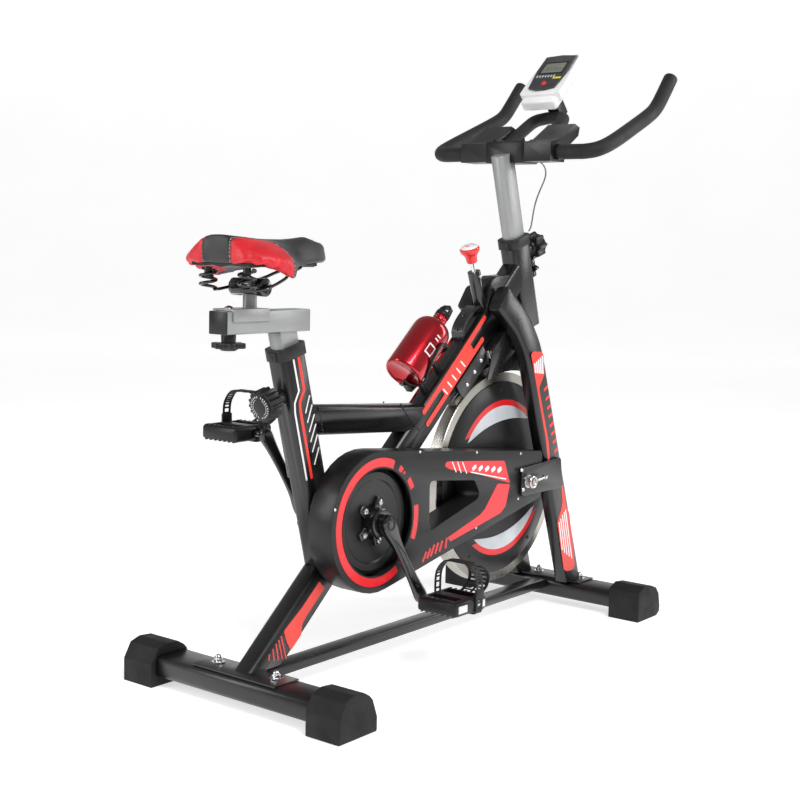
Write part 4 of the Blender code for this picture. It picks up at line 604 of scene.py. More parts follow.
# Fixed axle: a threaded steel bar across the fork, with a flange nut, an eye bolt that sets the chain's tension
# and two small screws on each steel bracket plate.
dress("flywheel_axle", turned_steel, 0.0005)
for side in ("left", "right"):
    dress(f"axle_bracket_{side}", black_coat, 0.0012, 3)


def gather(shape, part):
    """Adds the part's mesh to the shape, and lets the part go."""
    kept = bpy.data.meshes.new("part")
    part.to_mesh(kept)
    part.free()
    shape.from_mesh(kept)
    bpy.data.meshes.remove(kept)


zinc = finish_of("zinc", 0.28, 1.0)
coloured(zinc, (0.55, 0.55, 0.55), (0.72, 0.72, 0.71), 80)
glossed(zinc, 0.2, 0.42, 120)
grained(zinc, 1200, 0.00005)
shape = bmesh.new()
for sign in (-1, 1):
    axle = upright((0.2126, sign * 0.0824, 0.290), (0, sign, 0))
    spun([(0.0062, 0.0018), (0.0125, 0.0018), (0.0130, 0.0010), (0.0130, 0), (0.0062, 0)], axle, 32, shape)
    hexagon(axle, 0.0215, 0.0019, 0.0085, shape)
    eye = [Vector((0.2126 + 0.0105 * math.cos(a), sign * 0.0945, 0.290 + 0.0105 * math.sin(a)))
           for a in (2 * math.pi * i / 24 for i in range(24))]
    eye_ring = drawn(eye, 0.0024, 3, True)
    gather(shape, eye_ring)
    bmesh.ops.create_cone(shape, cap_ends=True, segments=16, radius1=0.0028, radius2=0.0028, depth=0.036,
                          matrix=upright((0.2126 + 0.030, sign * 0.0945, 0.2935), (1, 0, 0.1)))
    hexagon(upright((0.2126 + 0.0385, sign * 0.0945, 0.2944), (1, 0, 0.1)), 0.0105, 0, 0.005, shape)
    for x, z in ((0.1880, 0.3150), (0.1955, 0.2755)):
        spun([(0, 0.0028), (0.0026, 0.0024), (0.0042, 0.0006), (0.0042, 0), (0, 0)],
             upright((x, sign * 0.0824, z), (0, sign, 0)), 20, shape)
axle_nuts = make("axle_nuts", shape, zinc, smooth=35)
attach(axle_nuts, "frame")

# Chain guard: a moulded plastic shell in two halves round the chain, with a raised lip at the chainring's
# opening and round the frame window, small screws at its edge, and printed red shapes on its outer face.
GUARD_FACE = 0.0766
dress("chain_guard_cover", satin_plastic, 0.0022, 4)
dress("chain_guard_back", satin_plastic, 0.0006)
RING = Vector((-0.2434, 0, 0.274))
shape = spun([(0.0926, -0.004), (0.0926, 0.0010), (0.0934, 0.0016), (0.0946, 0.0016), (0.0952, 0.0008),
              (0.0952, -0.004)],
             upright(RING + Vector((0, -0.0764, 0)), (0, -1, 0)), 128)
lip = make("guard_lip", shape, satin_plastic, smooth=30)
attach(lip, "frame")


def sector(start, end, inner, outer, centre=(-0.2434, 0.274), steps=40):
    """A curved bar between two angles in degrees."""
    angles = [math.radians(start + (end - start) * i / steps) for i in range(steps + 1)]
    return [(centre[0] + outer * math.cos(a), centre[1] + outer * math.sin(a)) for a in angles] + [
        (centre[0] + inner * math.cos(a), centre[1] + inner * math.sin(a)) for a in reversed(angles)]


guard_shapes = [rounded(sector(67, 301, 0.0934, 0.1105), 0.007, 4),
                rounded(sector(52, 58, 0.0985, 0.1085, steps=3), 0.001),
                rounded(sector(47.5, 49.5, 0.1005, 0.1065, steps=2), 0.0006),
                rounded(sector(27, 39, 0.0985, 0.1095, steps=5), 0.002),
                rounded(sector(-24, 9, 0.0985, 0.1115, steps=12), 0.002),
                rounded([(-0.0554, 0.3530), (-0.0500, 0.3570), (-0.0343, 0.356), (0.1363, 0.3383),
                         (0.1571, 0.2926), (0.0483, 0.3231),
                         (-0.0397, 0.3414), (-0.0551, 0.3486)], 0.004),
                rounded([(0.115, 0.297), (0.1572, 0.2901), (0.1445, 0.2492), (0.1282, 0.2381),
                         (-0.0339, 0.2079),
                         (-0.0434, 0.2167), (0.0586, 0.2441), (0.0744, 0.2532)], 0.004)]
bars = [((-0.0446, 0.2168), (-0.0486, 0.1981)), ((-0.0584, 0.2135), (-0.0666, 0.1949)),
        ((-0.0703, 0.2118), (-0.0796, 0.1934)),
        ((-0.0821, 0.21), (-0.0931, 0.1902)), ((-0.0937, 0.2054), (-0.103, 0.1883)),
        ((-0.1053, 0.2012), (-0.1162, 0.184))]
guard_shapes += [ribbon(bar, 0.0058) for bar in bars]
film("guard_prints", guard_shapes, GUARD_FACE, guard_red, sides=(-1,))
film("guard_lines", [ribbon(line, 0.0024) for line in (((-0.0342, 0.3548), (-0.0211, 0.3345)),
                                                       ((-0.0177, 0.3530), (-0.0055, 0.3312)),
     ((-0.0022, 0.3512), (0.0121, 0.3280)))] + [ribbon([(0.0258, 0.3290), (0.143, 0.3020)], 0.0022)]
     + [rounded(ribbon([(0.034 + 0.021 * i, 0.3395 - 0.0032 * i), (0.0375 + 0.021 * i, 0.3330 - 0.0036 * i)],
                       0.0135), 0.003) for i in range(5)],
     GUARD_FACE, white_film, sides=(-1,), lift=FILM)
shape = bmesh.new()
for x, z in ((0.0436, 0.3640), (0.1925, 0.3460), (0.0480, 0.2210), (0.1880, 0.2580), (-0.1300, 0.3830),
             (-0.3560, 0.3110), (-0.1500, 0.1740)):
    spun([(0, 0.0007), (0.0019, 0.0007), (0.0027, 0), (0.0027, -0.001), (0, -0.001)],
         upright((x, -0.0765, z), (0, -1, 0)), 16, shape)
guard_screws = make("guard_screws", shape, zinc)
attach(guard_screws, "frame")

# Drive chain: half-inch roller chain, each link two waisted steel plates a side on steel rollers.
gun_steel = finish_of("gun_steel", 0.34, 1.0)
coloured(gun_steel, (0.16, 0.155, 0.15), (0.28, 0.27, 0.26), 40)
glossed(gun_steel, 0.26, 0.48, 60)
grained(gun_steel, 900, 0.00006)
CHAIN_Y, PITCH = -0.050, 0.0127


def chain_line():
    """The middle line of the chain round the chainring and the sprocket, as (x, z) points a pitch apart."""
    a, b, big, small = Vector((-0.2434, 0.274)), Vector((0.2126, 0.290)), 0.0864, 0.0314
    heading, swing = math.atan2((b - a).y, (b - a).x), math.acos((big - small) / (b - a).length)
    points = [a + big * Vector((math.cos(t), math.sin(t))) for t in
              (heading + swing + (2 * math.pi - 2 * swing) * i / 60 for i in range(61))]
    points += [b + small * Vector((math.cos(t), math.sin(t))) for t in
               (heading - swing + 2 * swing * i / 30 for i in range(31))] + [points[0]]
    total = sum((q - p).length for p, q in zip(points, points[1:]))
    count = 2 * round(total / PITCH / 2)
    found, walked, index = [], 0.0, 0
    for i in range(count):
        want = total * i / count
        while walked + (points[index + 1] - points[index]).length < want:
            walked += (points[index + 1] - points[index]).length
            index += 1
        step = points[index + 1] - points[index]
        found.append(points[index] + step * ((want - walked) / step.length))
    return found


shape = bmesh.new()
line = chain_line()
for index, first in enumerate(line):
    second = line[(index + 1) % len(line)]
    middle, run = (first + second) / 2, second - first
    spread = 0.0032 if index % 2 else 0.0022
    for way in (-1, 1):
        plate = bmesh.ops.create_cone(shape, cap_ends=True, segments=10, radius1=0.0036, radius2=0.0036,
                                      depth=0.0009)["verts"]
        for vert in plate:
            vert.co.x += math.copysign(run.length / 2, vert.co.x)
        turn = Matrix.Translation((middle.x, CHAIN_Y + way * spread,
                                   middle.y)) @ Matrix.Rotation(-math.atan2(run.y, run.x), 4, "Y")
        bmesh.ops.transform(shape, matrix=turn @ Matrix.Rotation(math.pi / 2, 4, "X"), verts=plate)
    bmesh.ops.create_cone(shape, cap_ends=True, segments=8, radius1=0.0028, radius2=0.0028, depth=0.0076,
                          matrix=upright((first.x, CHAIN_Y, first.y), (0, 1, 0)))
chain = make("roller_chain", shape, gun_steel, smooth=30)
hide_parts("drive_chain")
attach(chain, "frame")

# Crank set: forged steel arms, black, on a square axle, and the chainring with its stamped cover disc. The
# right arm's spider is held to the disc by cap screws.
gloss_black = finish_of("gloss_black", 0.2, coat=0.5, coat_roughness=0.08)
coloured(gloss_black, (0.006, 0.006, 0.0065), (0.010, 0.010, 0.0105), 10)
glossed(gloss_black, 0.16, 0.30, 25)
grained(gloss_black, 90, 0.00012, strength=0.5)
dress("chainring", satin_plastic, 0.0006)
dress("crank_axle", turned_steel, 0.0006)
CRANK = Vector((-0.2434, 0, 0.274))
shape = spun([(0.0300, 0.0609), (0.0300, 0.0622), (0.0340, 0.0632), (0.0700, 0.0632), (0.0730, 0.0650),
              (0.0845, 0.0650),
              (0.0870, 0.0632), (0.0905, 0.0628), (0.0905, 0.0609)], upright(CRANK, (0, -1, 0)), 96)
disc = make("chainring_disc", shape, satin_plastic, smooth=30)
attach(disc, "crank_set")


def crank_arm(side, sign, angle):
    """A tapered arm with rolled edges, a waist at its middle and a boss at each end."""
    turn = Matrix.Translation(CRANK) @ Matrix.Rotation(-angle, 4, "Y")
    shape = bmesh.new()
    stations = [(-0.0165, 0.006, 0.0855, 0.1050), (-0.012, 0.0130, 0.0848, 0.1058),
                (0.0, 0.0170, 0.0846, 0.1060), (0.014, 0.0158, 0.0846, 0.1060),
                (0.034, 0.0115, 0.0868, 0.1045), (0.060, 0.0098, 0.0905, 0.1035),
                (0.110, 0.0096, 0.0910, 0.1035),
                (0.148, 0.0112, 0.0906, 0.1050), (0.164, 0.0134, 0.0905, 0.1060),
                (0.172, 0.0134, 0.0905, 0.1060), (0.180, 0.0090, 0.0910, 0.1054),
                (0.1832, 0.0040, 0.0920, 0.1045)]
    rings = []
    for x, half, low, high in stations:
        edge = min(0.0035, half * 0.6)
        section = [(-half + edge, low), (half - edge, low), (half, low + edge), (half, high - edge),
                   (half - edge, high),
                   (-half + edge, high), (-half, high - edge), (-half, low + edge)]
        rings.append([shape.verts.new((x, sign * y, z)) for z, y in section])
    for ring in rings:
        for a, b in zip(ring, ring[1:] + ring[:1]):
            shape.edges.new((a, b))
    for a, b in zip(rings, rings[1:]):
        ends = [edge for edge in shape.edges if all(v in a for v in edge.verts) or all(v in b
            for v in edge.verts)]
        bmesh.ops.bridge_loops(shape, edges=ends)
    shape.faces.new(rings[0])
    shape.faces.new(rings[-1])
    bmesh.ops.transform(shape, matrix=turn, verts=shape.verts)
    pin = CRANK + Vector((0.170 * math.cos(angle), 0, 0.170 * math.sin(angle)))
    spun([(0, sign * 0.098), (0.0058, sign * 0.098), (0.0058, sign * 0.196), (0, sign * 0.196)],
         upright(pin, (0, 1, 0)), 24, shape)
    cap = upright(CRANK + Vector((0, sign * 0.1060, 0)), (0, sign, 0))
    if side == "right":
        hexagon(upright(CRANK + Vector((0, -0.0606, 0)), (0, -1, 0)), 0.052, 0.0002, 0.026, shape, 0.003, 20)
        for i in range(5):
            reach = math.radians(70 + 72 * i)
            arm = block((0, -0.0105, 0.0610), (0.0440, 0.0105, 0.0690), 0.003, 3)
            for vert in arm.verts:
                vert.co.y *= 1.0 - 0.30 * vert.co.x / 0.044
            bmesh.ops.transform(arm, matrix=upright(CRANK, (0, -1, 0)) @ Matrix.Rotation(reach, 4, "Z"),
                                verts=arm.verts)
            gather(shape, arm)
    made = make(f"crank_{side}", shape, gloss_black, smooth=38)
    made.modifiers.new("soft", "SUBSURF")
    made.modifiers["soft"].levels = made.modifiers["soft"].render_levels = 1
    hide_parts(f"crank_arm_{side}")
    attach(made, "crank_set")


RIGHT_ANGLE = math.radians(-56)
crank_arm("right", -1, RIGHT_ANGLE)
crank_arm("left", 1, RIGHT_ANGLE + math.pi)
shape = bmesh.new()
for i in range(5):
    reach = math.radians(70 + 72 * i)
    stand = CRANK + Vector((0.0345 * math.cos(reach), -0.0690, 0.0345 * math.sin(reach)))
    hexagon(upright(stand, (0, -1, 0)), 0.0115, 0, 0.0034, shape)
    spun([(0.0034, 0.0046), (0.0046, 0.0040), (0.0046, 0.0032), (0.0034, 0.0032)], upright(stand, (0, -1, 0)),
         20, shape)
bolts = make("chainring_bolts", shape, zinc, smooth=35)
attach(bolts, "crank_set")
shape = bmesh.new()
for sign in (-1, 1):
    cap = upright(CRANK + Vector((0, sign * 0.1022, 0)), (0, sign, 0))
    spun([(0, 0.0030), (0.0060, 0.0030), (0.0066, 0.0044), (0.0098, 0.0046), (0.0106, 0.0038), (0.0106, 0),
          (0, 0)], cap, 40, shape)
caps = make("crank_caps", shape, satin_plastic)
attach(caps, "crank_set")

# Pedals: moulded black platforms whose long bars carry tread ribs, with a white reflector in each end, a toe
# clip and a perforated rubber strap over the shoe.
PEDALS = {"right": (-1, -0.1483, 0.1331), "left": (1, -0.3385, 0.4149)}
clear_white = finish_of("clear_white", 0.16, coat=0.6)
coloured(clear_white, (0.62, 0.62, 0.62), (0.82, 0.82, 0.82), 300)
glossed(clear_white, 0.10, 0.24, 80)
grained(clear_white, 900, 0.0002, cells=True)
soft_rubber = finish_of("soft_rubber", 0.5)
coloured(soft_rubber, (0.010, 0.010, 0.0105), (0.019, 0.019, 0.020), 30)
glossed(soft_rubber, 0.40, 0.60, 40)
grained(soft_rubber, 1500, 0.00010)
for side, (sign, x, z) in PEDALS.items():
    dress(f"pedal_{side}", satin_plastic, 0.0016, 3)
    inner, outer = sign * 0.124, sign * 0.208
    low_y = min(inner, outer)
    shape = bmesh.new()
    for way in (-1, 1):
        for level in (-1, 1):
            for rib in range(7):
                y = low_y + 0.009 + 0.011 * rib
                block((x + way * 0.0385 - 0.0055, y - 0.0012, z + level * 0.0128 - 0.0009),
                      (x + way * 0.0385 + 0.0055, y + 0.0012, z + level * 0.0128 + 0.0009), 0.0004, 1, shape)
    for rib in (-1, 1):
        block((x - 0.008, low_y + 0.012 + (rib + 1) * 0.026, z - 0.0128),
              (x + 0.008, low_y + 0.020 + (rib + 1) * 0.026, z + 0.0128),
              0.002, 2, shape)
    tread = make(f"pedal_tread_{side}", shape, satin_plastic, smooth=30)
    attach(tread, f"{side}_pedal")
    shape = bmesh.new()
    for where in (-0.026, 0.026):
        a, b = sorted((outer - sign * 0.002, outer + sign * 0.0012))
        block((x + where - 0.0125, a, z - 0.0065), (x + where + 0.0125, b, z + 0.0065), 0.0012, 3, shape)
    reflector = make(f"pedal_reflector_{side}", shape, clear_white, smooth=30)
    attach(reflector, f"{side}_pedal")
    middle = (inner + outer) / 2
    front = x + 0.0453
    arch = flowing([(front, middle, z - 0.009), (front + 0.001, middle, z + 0.004),
                    (front + 0.026, middle, z + 0.018),
                    (front + 0.030, middle, z + 0.040), (front + 0.004, middle, z + 0.062),
                    (x + 0.012, middle, z + 0.0675)], 6)
    arch = [point + Vector((0.003, 0, 0)) for point in arch]
    shape = bmesh.new()
    for lane in (-0.0195, 0, 0.0195):
        rail = drawn([point + Vector((0, lane, 0)) for point in arch], 0.0017 if lane else 0.0013, 2)
        for vert in rail.verts:
            vert.co.y = middle + lane + (vert.co.y - middle - lane) * 2.0
        gather(shape, rail)
    for index in range(1, len(arch) - 1, 2):
        run = arch[index + 1] - arch[index - 1]
        bar = block((-0.0018, -0.0205, -0.0009), (0.0018, 0.0205, 0.0009), 0.0006, 1)
        bmesh.ops.transform(bar, matrix=Matrix.Translation(arch[index]) @ Matrix.Rotation(-math.atan2(run.z,
            run.x), 4, "Y"), verts=bar.verts)
        gather(shape, bar)
    strap_x = x + 0.0185
    half = 0.0442
    ring = [(0, -0.0155), (half - 0.008, -0.0155), (half - 0.001, -0.0115), (half, -0.004), (half, 0.036),
            (half - 0.006, 0.054),
            (half - 0.020, 0.0675), (0, 0.0690)]
    ring = [Vector((strap_x, middle + y, z + up)) for y, up in ring] + [
        Vector((strap_x, middle - y, z + up)) for y, up in reversed(ring[1:-1])]
    band = flowing(ring + ring[:1], 4)[:-1]
    for lane in (-0.0072, 0.0072):
        edge = drawn([point + Vector((lane, 0, 0)) for point in band], 0.0013, 2, True)
        for vert in edge.verts:
            vert.co.x = strap_x + lane + (vert.co.x - strap_x - lane) * 2.2
        gather(shape, edge)
    for index in range(0, len(band), 1):
        run = band[(index + 1) % len(band)] - band[index - 1]
        rung = block((-0.0060, -0.0016, -0.0009), (0.0060, 0.0016, 0.0009), 0.0004, 1)
        bmesh.ops.transform(rung, matrix=Matrix.Translation(band[index]) @ Matrix.Rotation(math.atan2(run.z,
            run.y), 4, "X"), verts=rung.verts)
        gather(shape, rung)
    block((strap_x - 0.0115, middle + sign * half - 0.0022, z + 0.010),
          (strap_x + 0.0115, middle + sign * half + 0.0022, z + 0.026), 0.0012, 2, shape)
    cage = make(f"toe_clip_{side}", shape, soft_rubber, smooth=35)
    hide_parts(f"toe_cage_{side}")
    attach(cage, f"{side}_pedal")

# Seat post and slider: silver-painted oval and square steel tube, with black plastic plugs in the slider's
# ends. The folded carriage plate slides on it, held by the screw of the star knob underneath.
silver_coat = finish_of("silver_coat", 0.36, 0.35)
coloured(silver_coat, (0.29, 0.295, 0.295), (0.35, 0.355, 0.355), 9)
glossed(silver_coat, 0.30, 0.44, 20)
grained(silver_coat, 2600, 0.00003, cells=True)
grained(silver_coat, 220, 0.00006)
for node in ("seat_post", "bar_post"):
    dress(node, silver_coat, 0.0007)
dress("saddle_carriage", silver_coat, 0.0006, 3)
shape = bmesh.new()
for end, way in ((-0.5484, -1), (-0.3614, 1)):
    a, b = sorted((end + way * -0.010, end - way * 0.0002))
    block((a, -0.0172, 0.6028), (b, 0.0172, 0.6332), 0.0010, 2, shape)
    a, b = sorted((end, end + way * 0.0012))
    block((a, -0.0196, 0.6004), (b, 0.0196, 0.6356), 0.0008, 2, shape)
plugs = make("slider_plugs", shape, satin_plastic, smooth=30)
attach(plugs, "seat_mast")

# Plastic guide sleeves at the two tube tops: a collar with an ear at its front and its back for the screws.
for node, body_top, lean in (("seat_collar", (-0.3984, 0.574), 15.0), ("head_collar", (0.2596, 0.760), 17.0)):
    dress(node, satin_plastic, 0.0012, 3)
    shape = bmesh.new()
    tilt = Matrix.Translation((body_top[0], 0, body_top[1])) @ Matrix.Rotation(math.radians(-lean), 4, "Y")
    for way in (-1, 1):
        ear = block((min(way * 0.0300, way * 0.0345), -0.0085, -0.0150),
                    (max(way * 0.0300, way * 0.0345), 0.0085, 0.0005), 0.0018, 3)
        spun([(0, 0.0016), (0.0026, 0.0012), (0.0034, 0), (0, 0)],
             upright((way * 0.0345, 0, -0.0075), (way, 0, 0)), 16, ear)
        bmesh.ops.transform(ear, matrix=tilt, verts=ear.verts)
        gather(shape, ear)
    ears = make(f"{node}_ears", shape, satin_plastic, smooth=30)
    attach(ears, "frame")


def lobed(radius, depth, lobes, steps=10):
    """The outline of a hand knob with rounded flutes."""
    return [(r * math.cos(t), r * math.sin(t)) for t, r in
            ((t, radius - depth / 2 + depth / 2 * math.cos(lobes * t)) for t in
             (2 * math.pi * i / (lobes * steps) for i in range(lobes * steps)))]


def fluted(outline, low, high, place, shape, edge=0.0015):
    """A fluted grip drawn up from its outline, both its rims rolled, added to the shape."""
    part = bmesh.new()
    base = part.faces.new([part.verts.new((x, y, low)) for x, y in outline])
    raised(part, [base], (0, 0, high - low))
    rims = [line for line in part.edges if abs(line.verts[0].co.z - line.verts[1].co.z) < 1e-7]
    bmesh.ops.bevel(part, geom=rims, offset=edge, segments=3, profile=0.5, affect="EDGES", material=-1)
    bmesh.ops.transform(part, matrix=place, verts=part.verts)
    gather(shape, part)
    return shape


CLAMP = (-0.5264, 0, 0.5994)
shape = fluted(lobed(0.0275, 0.009, 6), -0.0215, -0.0125, upright(CLAMP), bmesh.new(), 0.0018)
spun([(0.0040, -0.0004), (0.0112, -0.0004), (0.0118, -0.0020), (0.0112, -0.0125), (0.0160, -0.0150),
      (0.0150, -0.0225),
      (0.0110, -0.0252), (0, -0.0258)], upright(CLAMP), 40, shape)
spun([(0, -0.002), (0.0039, -0.002), (0.0039, 0.0400), (0, 0.0400)], upright(CLAMP), 20, shape)
star = make("slider_star_knob", shape, satin_plastic, smooth=35)
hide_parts("slider_knob")
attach(star, "carriage_screw")
shape = spun([(0, 0.0445 + 0.0005), (0.0030, 0.0443), (0.0062, 0.0428), (0.0078, 0.0403), (0.0079, 0.0400),
              (0, 0.0400)],
             upright(CLAMP), 32)
dome = make("slider_dome_bolt", shape, zinc)
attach(dome, "carriage_screw")

# Saddle clamp and springs: a pressed steel clamp on the carriage's pin, which grips the wire frame. The wire is
# one length of spring steel, coiled at its back under each side of the saddle.
dress("saddle_clamp", gloss_black, 0.0010, 3)
PIN = -0.4804
WIRE = 0.0026
wire_half = [(-0.3694, 0, 0.7025), (-0.3744, 0.010, 0.7025), (-0.4044, 0.016, 0.694), (-0.4294, 0.025, 0.684),
             (PIN, 0.0405, 0.672), (-0.5074, 0.0405, 0.668)]
wire_run = flowing(wire_half, 6)
for step in range(61):
    angle = 2 * math.pi * step / 24 - math.pi / 2
    wire_run.append(Vector((-0.5299 + 0.0125 * math.cos(angle), 0.042 + 0.0125 * math.sin(angle),
                            0.668 + 0.032 * step / 60)))
spring_line = [Vector((p.x, -p.y, p.z)) for p in reversed(wire_run)] + wire_run[1:]
shape = drawn(spring_line, WIRE, 3)
for sign in (-1, 1):
    spun([(0, 0.0012), (0.0062, 0.0012), (0.0062, -0.0110), (0.0090, -0.0120), (0.0090, -0.0150),
          (0, -0.0155)],
         upright((-0.5299, sign * 0.042, 0.7020)), 24, shape)
springs = make("spring_wire", shape, gloss_black, smooth=50)
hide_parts("saddle_springs")
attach(springs, "saddle")
shape = bmesh.new()
for sign in (-1, 1):
    acorn_nut(shape, upright((PIN, sign * 0.0330, 0.672), (0, sign, 0)), 0.011)
clamp_nuts = make("clamp_nuts", shape, gloss_black, smooth=35)
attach(clamp_nuts, "saddle")

# Saddle: moulded foam under a sewn leathercloth cover, black down its middle and nose and red on its side lobes,
# gathered where it turns under. The cover is blown up a little by cloth simulation, then sewn.
SADDLE_BACK, SADDLE_RUN, SADDLE_HALF, NOSE_HALF = -0.5584, 0.252, 0.1025, 0.030


def saddle_half(u):
    """Half the saddle's width at u from its back to its nose."""
    blend = 1 / (1 + math.exp((u - 0.47) / 0.075))
    rounding = math.sqrt(max(0.0, 1 - max(0.0, 0.20 - u) ** 2 / 0.20**2 * 0.62))
    tip = math.sqrt(max(0.0, 1 - (max(0.0, u - 0.82) / 0.20) ** 2))
    return (NOSE_HALF + (SADDLE_HALF - NOSE_HALF) * blend) * rounding * tip


def seam_depth(x, y):
    """How far inside the red lobe a point lies, over nought on the red and under it on the black."""
    a, b = abs(y) - 0.031, -0.473 - x
    k = 0.016
    blend = max(k - abs(a - b), 0.0) / k
    return min(a, b) - blend * blend * k / 4


red_leather = finish_of("seat_leather", 0.42, coat=0.08, coat_roughness=0.3)
nodes, links = red_leather.node_tree.nodes, red_leather.node_tree.links


def sum_of(operation, first, second, third=None):
    """A Math node of that operation on sockets or numbers."""
    made = nodes.new("ShaderNodeMath")
    made.operation = operation
    for slot, value in zip(made.inputs, (first, second, third)):
        if isinstance(value, bpy.types.NodeSocket):
            links.new(value, slot)
        elif value is not None:
            slot.default_value = value
    return made.outputs[0]


split = nodes.new("ShaderNodeSeparateXYZ")
links.new(nodes["place"].outputs["Object"], split.inputs[0])
sideways = sum_of("SUBTRACT", sum_of("ABSOLUTE", split.outputs["Y"], None), 0.031)
inside = sum_of("SMOOTH_MIN", sideways, sum_of("SUBTRACT", -0.473, split.outputs["X"]), 0.016)
red_part = sum_of("GREATER_THAN", inside, 0.0)
along = sum_of("ADD", sum_of("MULTIPLY", split.outputs["X"], 1500.0),
               sum_of("MULTIPLY", split.outputs["Z"], 1100.0))
dash = sum_of("GREATER_THAN", sum_of("SINE", sum_of("ADD", along, sum_of("MULTIPLY", sideways, 900.0)), None),
              -0.35)
near = sum_of("COMPARE", inside, -0.0019, 0.00042)
stitch = sum_of("MULTIPLY", near, dash)
red_tone, black_tone = nodes.new("ShaderNodeValToRGB"), nodes.new("ShaderNodeValToRGB")
for tone, dark, light in ((red_tone, (0.56, 0.006, 0.014), (0.76, 0.012, 0.024)),
                          (black_tone, (0.010, 0.010, 0.011), (0.024, 0.024, 0.026))):
    tone.color_ramp.elements[0].color, tone.color_ramp.elements[1].color = (*dark, 1), (*light, 1)
    tone.color_ramp.elements[0].position, tone.color_ramp.elements[1].position = 0.3, 0.7
    links.new(pattern(red_leather, 28, 5.0), tone.inputs["Fac"])
panels = nodes.new("ShaderNodeMix")
panels.data_type = "RGBA"
links.new(red_part, panels.inputs["Factor"])
links.new(black_tone.outputs["Color"], panels.inputs["A"])
links.new(red_tone.outputs["Color"], panels.inputs["B"])
sewn = nodes.new("ShaderNodeMix")
sewn.data_type = "RGBA"
links.new(stitch, sewn.inputs["Factor"])
links.new(panels.outputs["Result"], sewn.inputs["A"])
sewn.inputs["B"].default_value = (0.52, 0.42, 0.42, 1)
links.new(sewn.outputs["Result"], nodes["Principled BSDF"].inputs["Base Color"])
glossed(red_leather, 0.30, 0.50, 24)
grained(red_leather, 900, 0.00022, cells=True)
grained(red_leather, 160, 0.0004, strength=0.5)

shape = bmesh.new()
bmesh.ops.create_cube(shape, size=1.0)
bmesh.ops.subdivide_edges(shape, edges=shape.edges, cuts=19, use_grid_fill=True)
for vert in shape.verts:
    u, v, w = (c + 0.5 for c in vert.co)
    side = 2 * v - 1
    edge = abs(side) ** 2.4
    top = 0.7535 - 0.010 * math.sin(math.pi * u) + 0.006 * u - 0.030 * edge - 0.018 * max(0, u - 0.8) / 0.2
    skirt = 0.7125 - 0.0300 * (u / 0.34) ** 1.5 if u < 0.34 else 0.6825 + 0.0355 * ((u - 0.34) / 0.66) ** 0.70
    bottom = 0.7095 + (skirt - 0.7095) * edge
    bulge = 1.0 - 0.030 * (2 * w - 1) ** 2
    vert.co = (SADDLE_BACK + 0.004 + (SADDLE_RUN - 0.008) * u, side * (saddle_half(u) * bulge - 0.004),
               bottom + (top - bottom) * w)
bmesh.ops.recalc_face_normals(shape, faces=shape.faces)
mesh = bpy.data.meshes.new("saddle_blank")
shape.to_mesh(mesh)
shape.free()
pad = bpy.data.objects.new("saddle_blank", mesh)
bpy.context.scene.collection.objects.link(pad)


def settled(blank):
    """A new mesh of the object with its modifiers worked out."""
    bpy.context.view_layer.update()
    return bpy.data.meshes.new_from_object(blank.evaluated_get(bpy.context.evaluated_depsgraph_get()))


knit = pad.modifiers.new("knit", "REMESH")
knit.mode, knit.voxel_size, knit.use_smooth_shade = "VOXEL", 0.0045, True
even = settled(pad)
pad.modifiers.clear()
pad.data = even
rest = [vert.co.copy() for vert in even.vertices]
held = pad.vertex_groups.new(name="held")
under = [vert.index for vert in even.vertices if vert.normal.z < -0.55]
held.add(under, 1.0, "REPLACE")
cover = pad.modifiers.new("cover", "CLOTH")
cover.settings.quality = 6
cover.settings.mass = 0.15
cover.settings.tension_stiffness = cover.settings.compression_stiffness = 12
cover.settings.bending_stiffness = 0.8
cover.settings.use_pressure = True
cover.settings.uniform_pressure_force = 4.0
cover.settings.vertex_group_mass = "held"
cover.settings.effector_weights.gravity = 0.0
cover.collision_settings.use_collision = False
for step in range(1, 21):
    bpy.context.scene.frame_set(step)
blown = settled(pad)
bpy.context.scene.frame_set(1)
pad.modifiers.clear()
most = 0.0065
for vert, start in zip(blown.vertices, rest):
    move = vert.co - start
    vert.co = start + (move if move.length <= most else move * (most / move.length))
pad.data = blown
finer = pad.modifiers.new("finer", "SUBSURF")
finer.levels = finer.render_levels = 1
smooth_cover = settled(pad)
bpy.data.objects.remove(pad)
shape = bmesh.new()
shape.from_mesh(smooth_cover)
bmesh.ops.smooth_vert(shape, verts=shape.verts, factor=0.5, use_axis_x=True, use_axis_y=True, use_axis_z=True)
shape.normal_update()
for vert in shape.verts:
    depth = seam_depth(vert.co.x, vert.co.y)
    up = vert.normal.z
    move = 0.0
    if up > -0.5:
        move -= 0.0013 * math.exp(-((depth / 0.0022) ** 2))
        move += 0.0007 * math.exp(-(((abs(depth) - 0.006) / 0.004) ** 2))
    if depth > 0.003:
        low_side = max(0.0, min(1.0, (0.735 - vert.co.z) / 0.030)) * max(0.0, 1 - max(0.0, up))
        wave = math.sin(vert.co.x * 360 + 2.2 * noise.noise(Vector((vert.co.x * 30, vert.co.z * 18, 3.1)))
                        + 26 * (vert.co.z - 0.71))
        move += low_side * (0.0020 * wave + 0.0012 * noise.noise(vert.co * 70))
    else:
        move += 0.0003 * noise.noise(vert.co * 45)
    vert.co += vert.normal * move
cushion = make("saddle_cover", shape, red_leather, smooth=180)
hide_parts("saddle_cushion")
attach(cushion, "saddle")

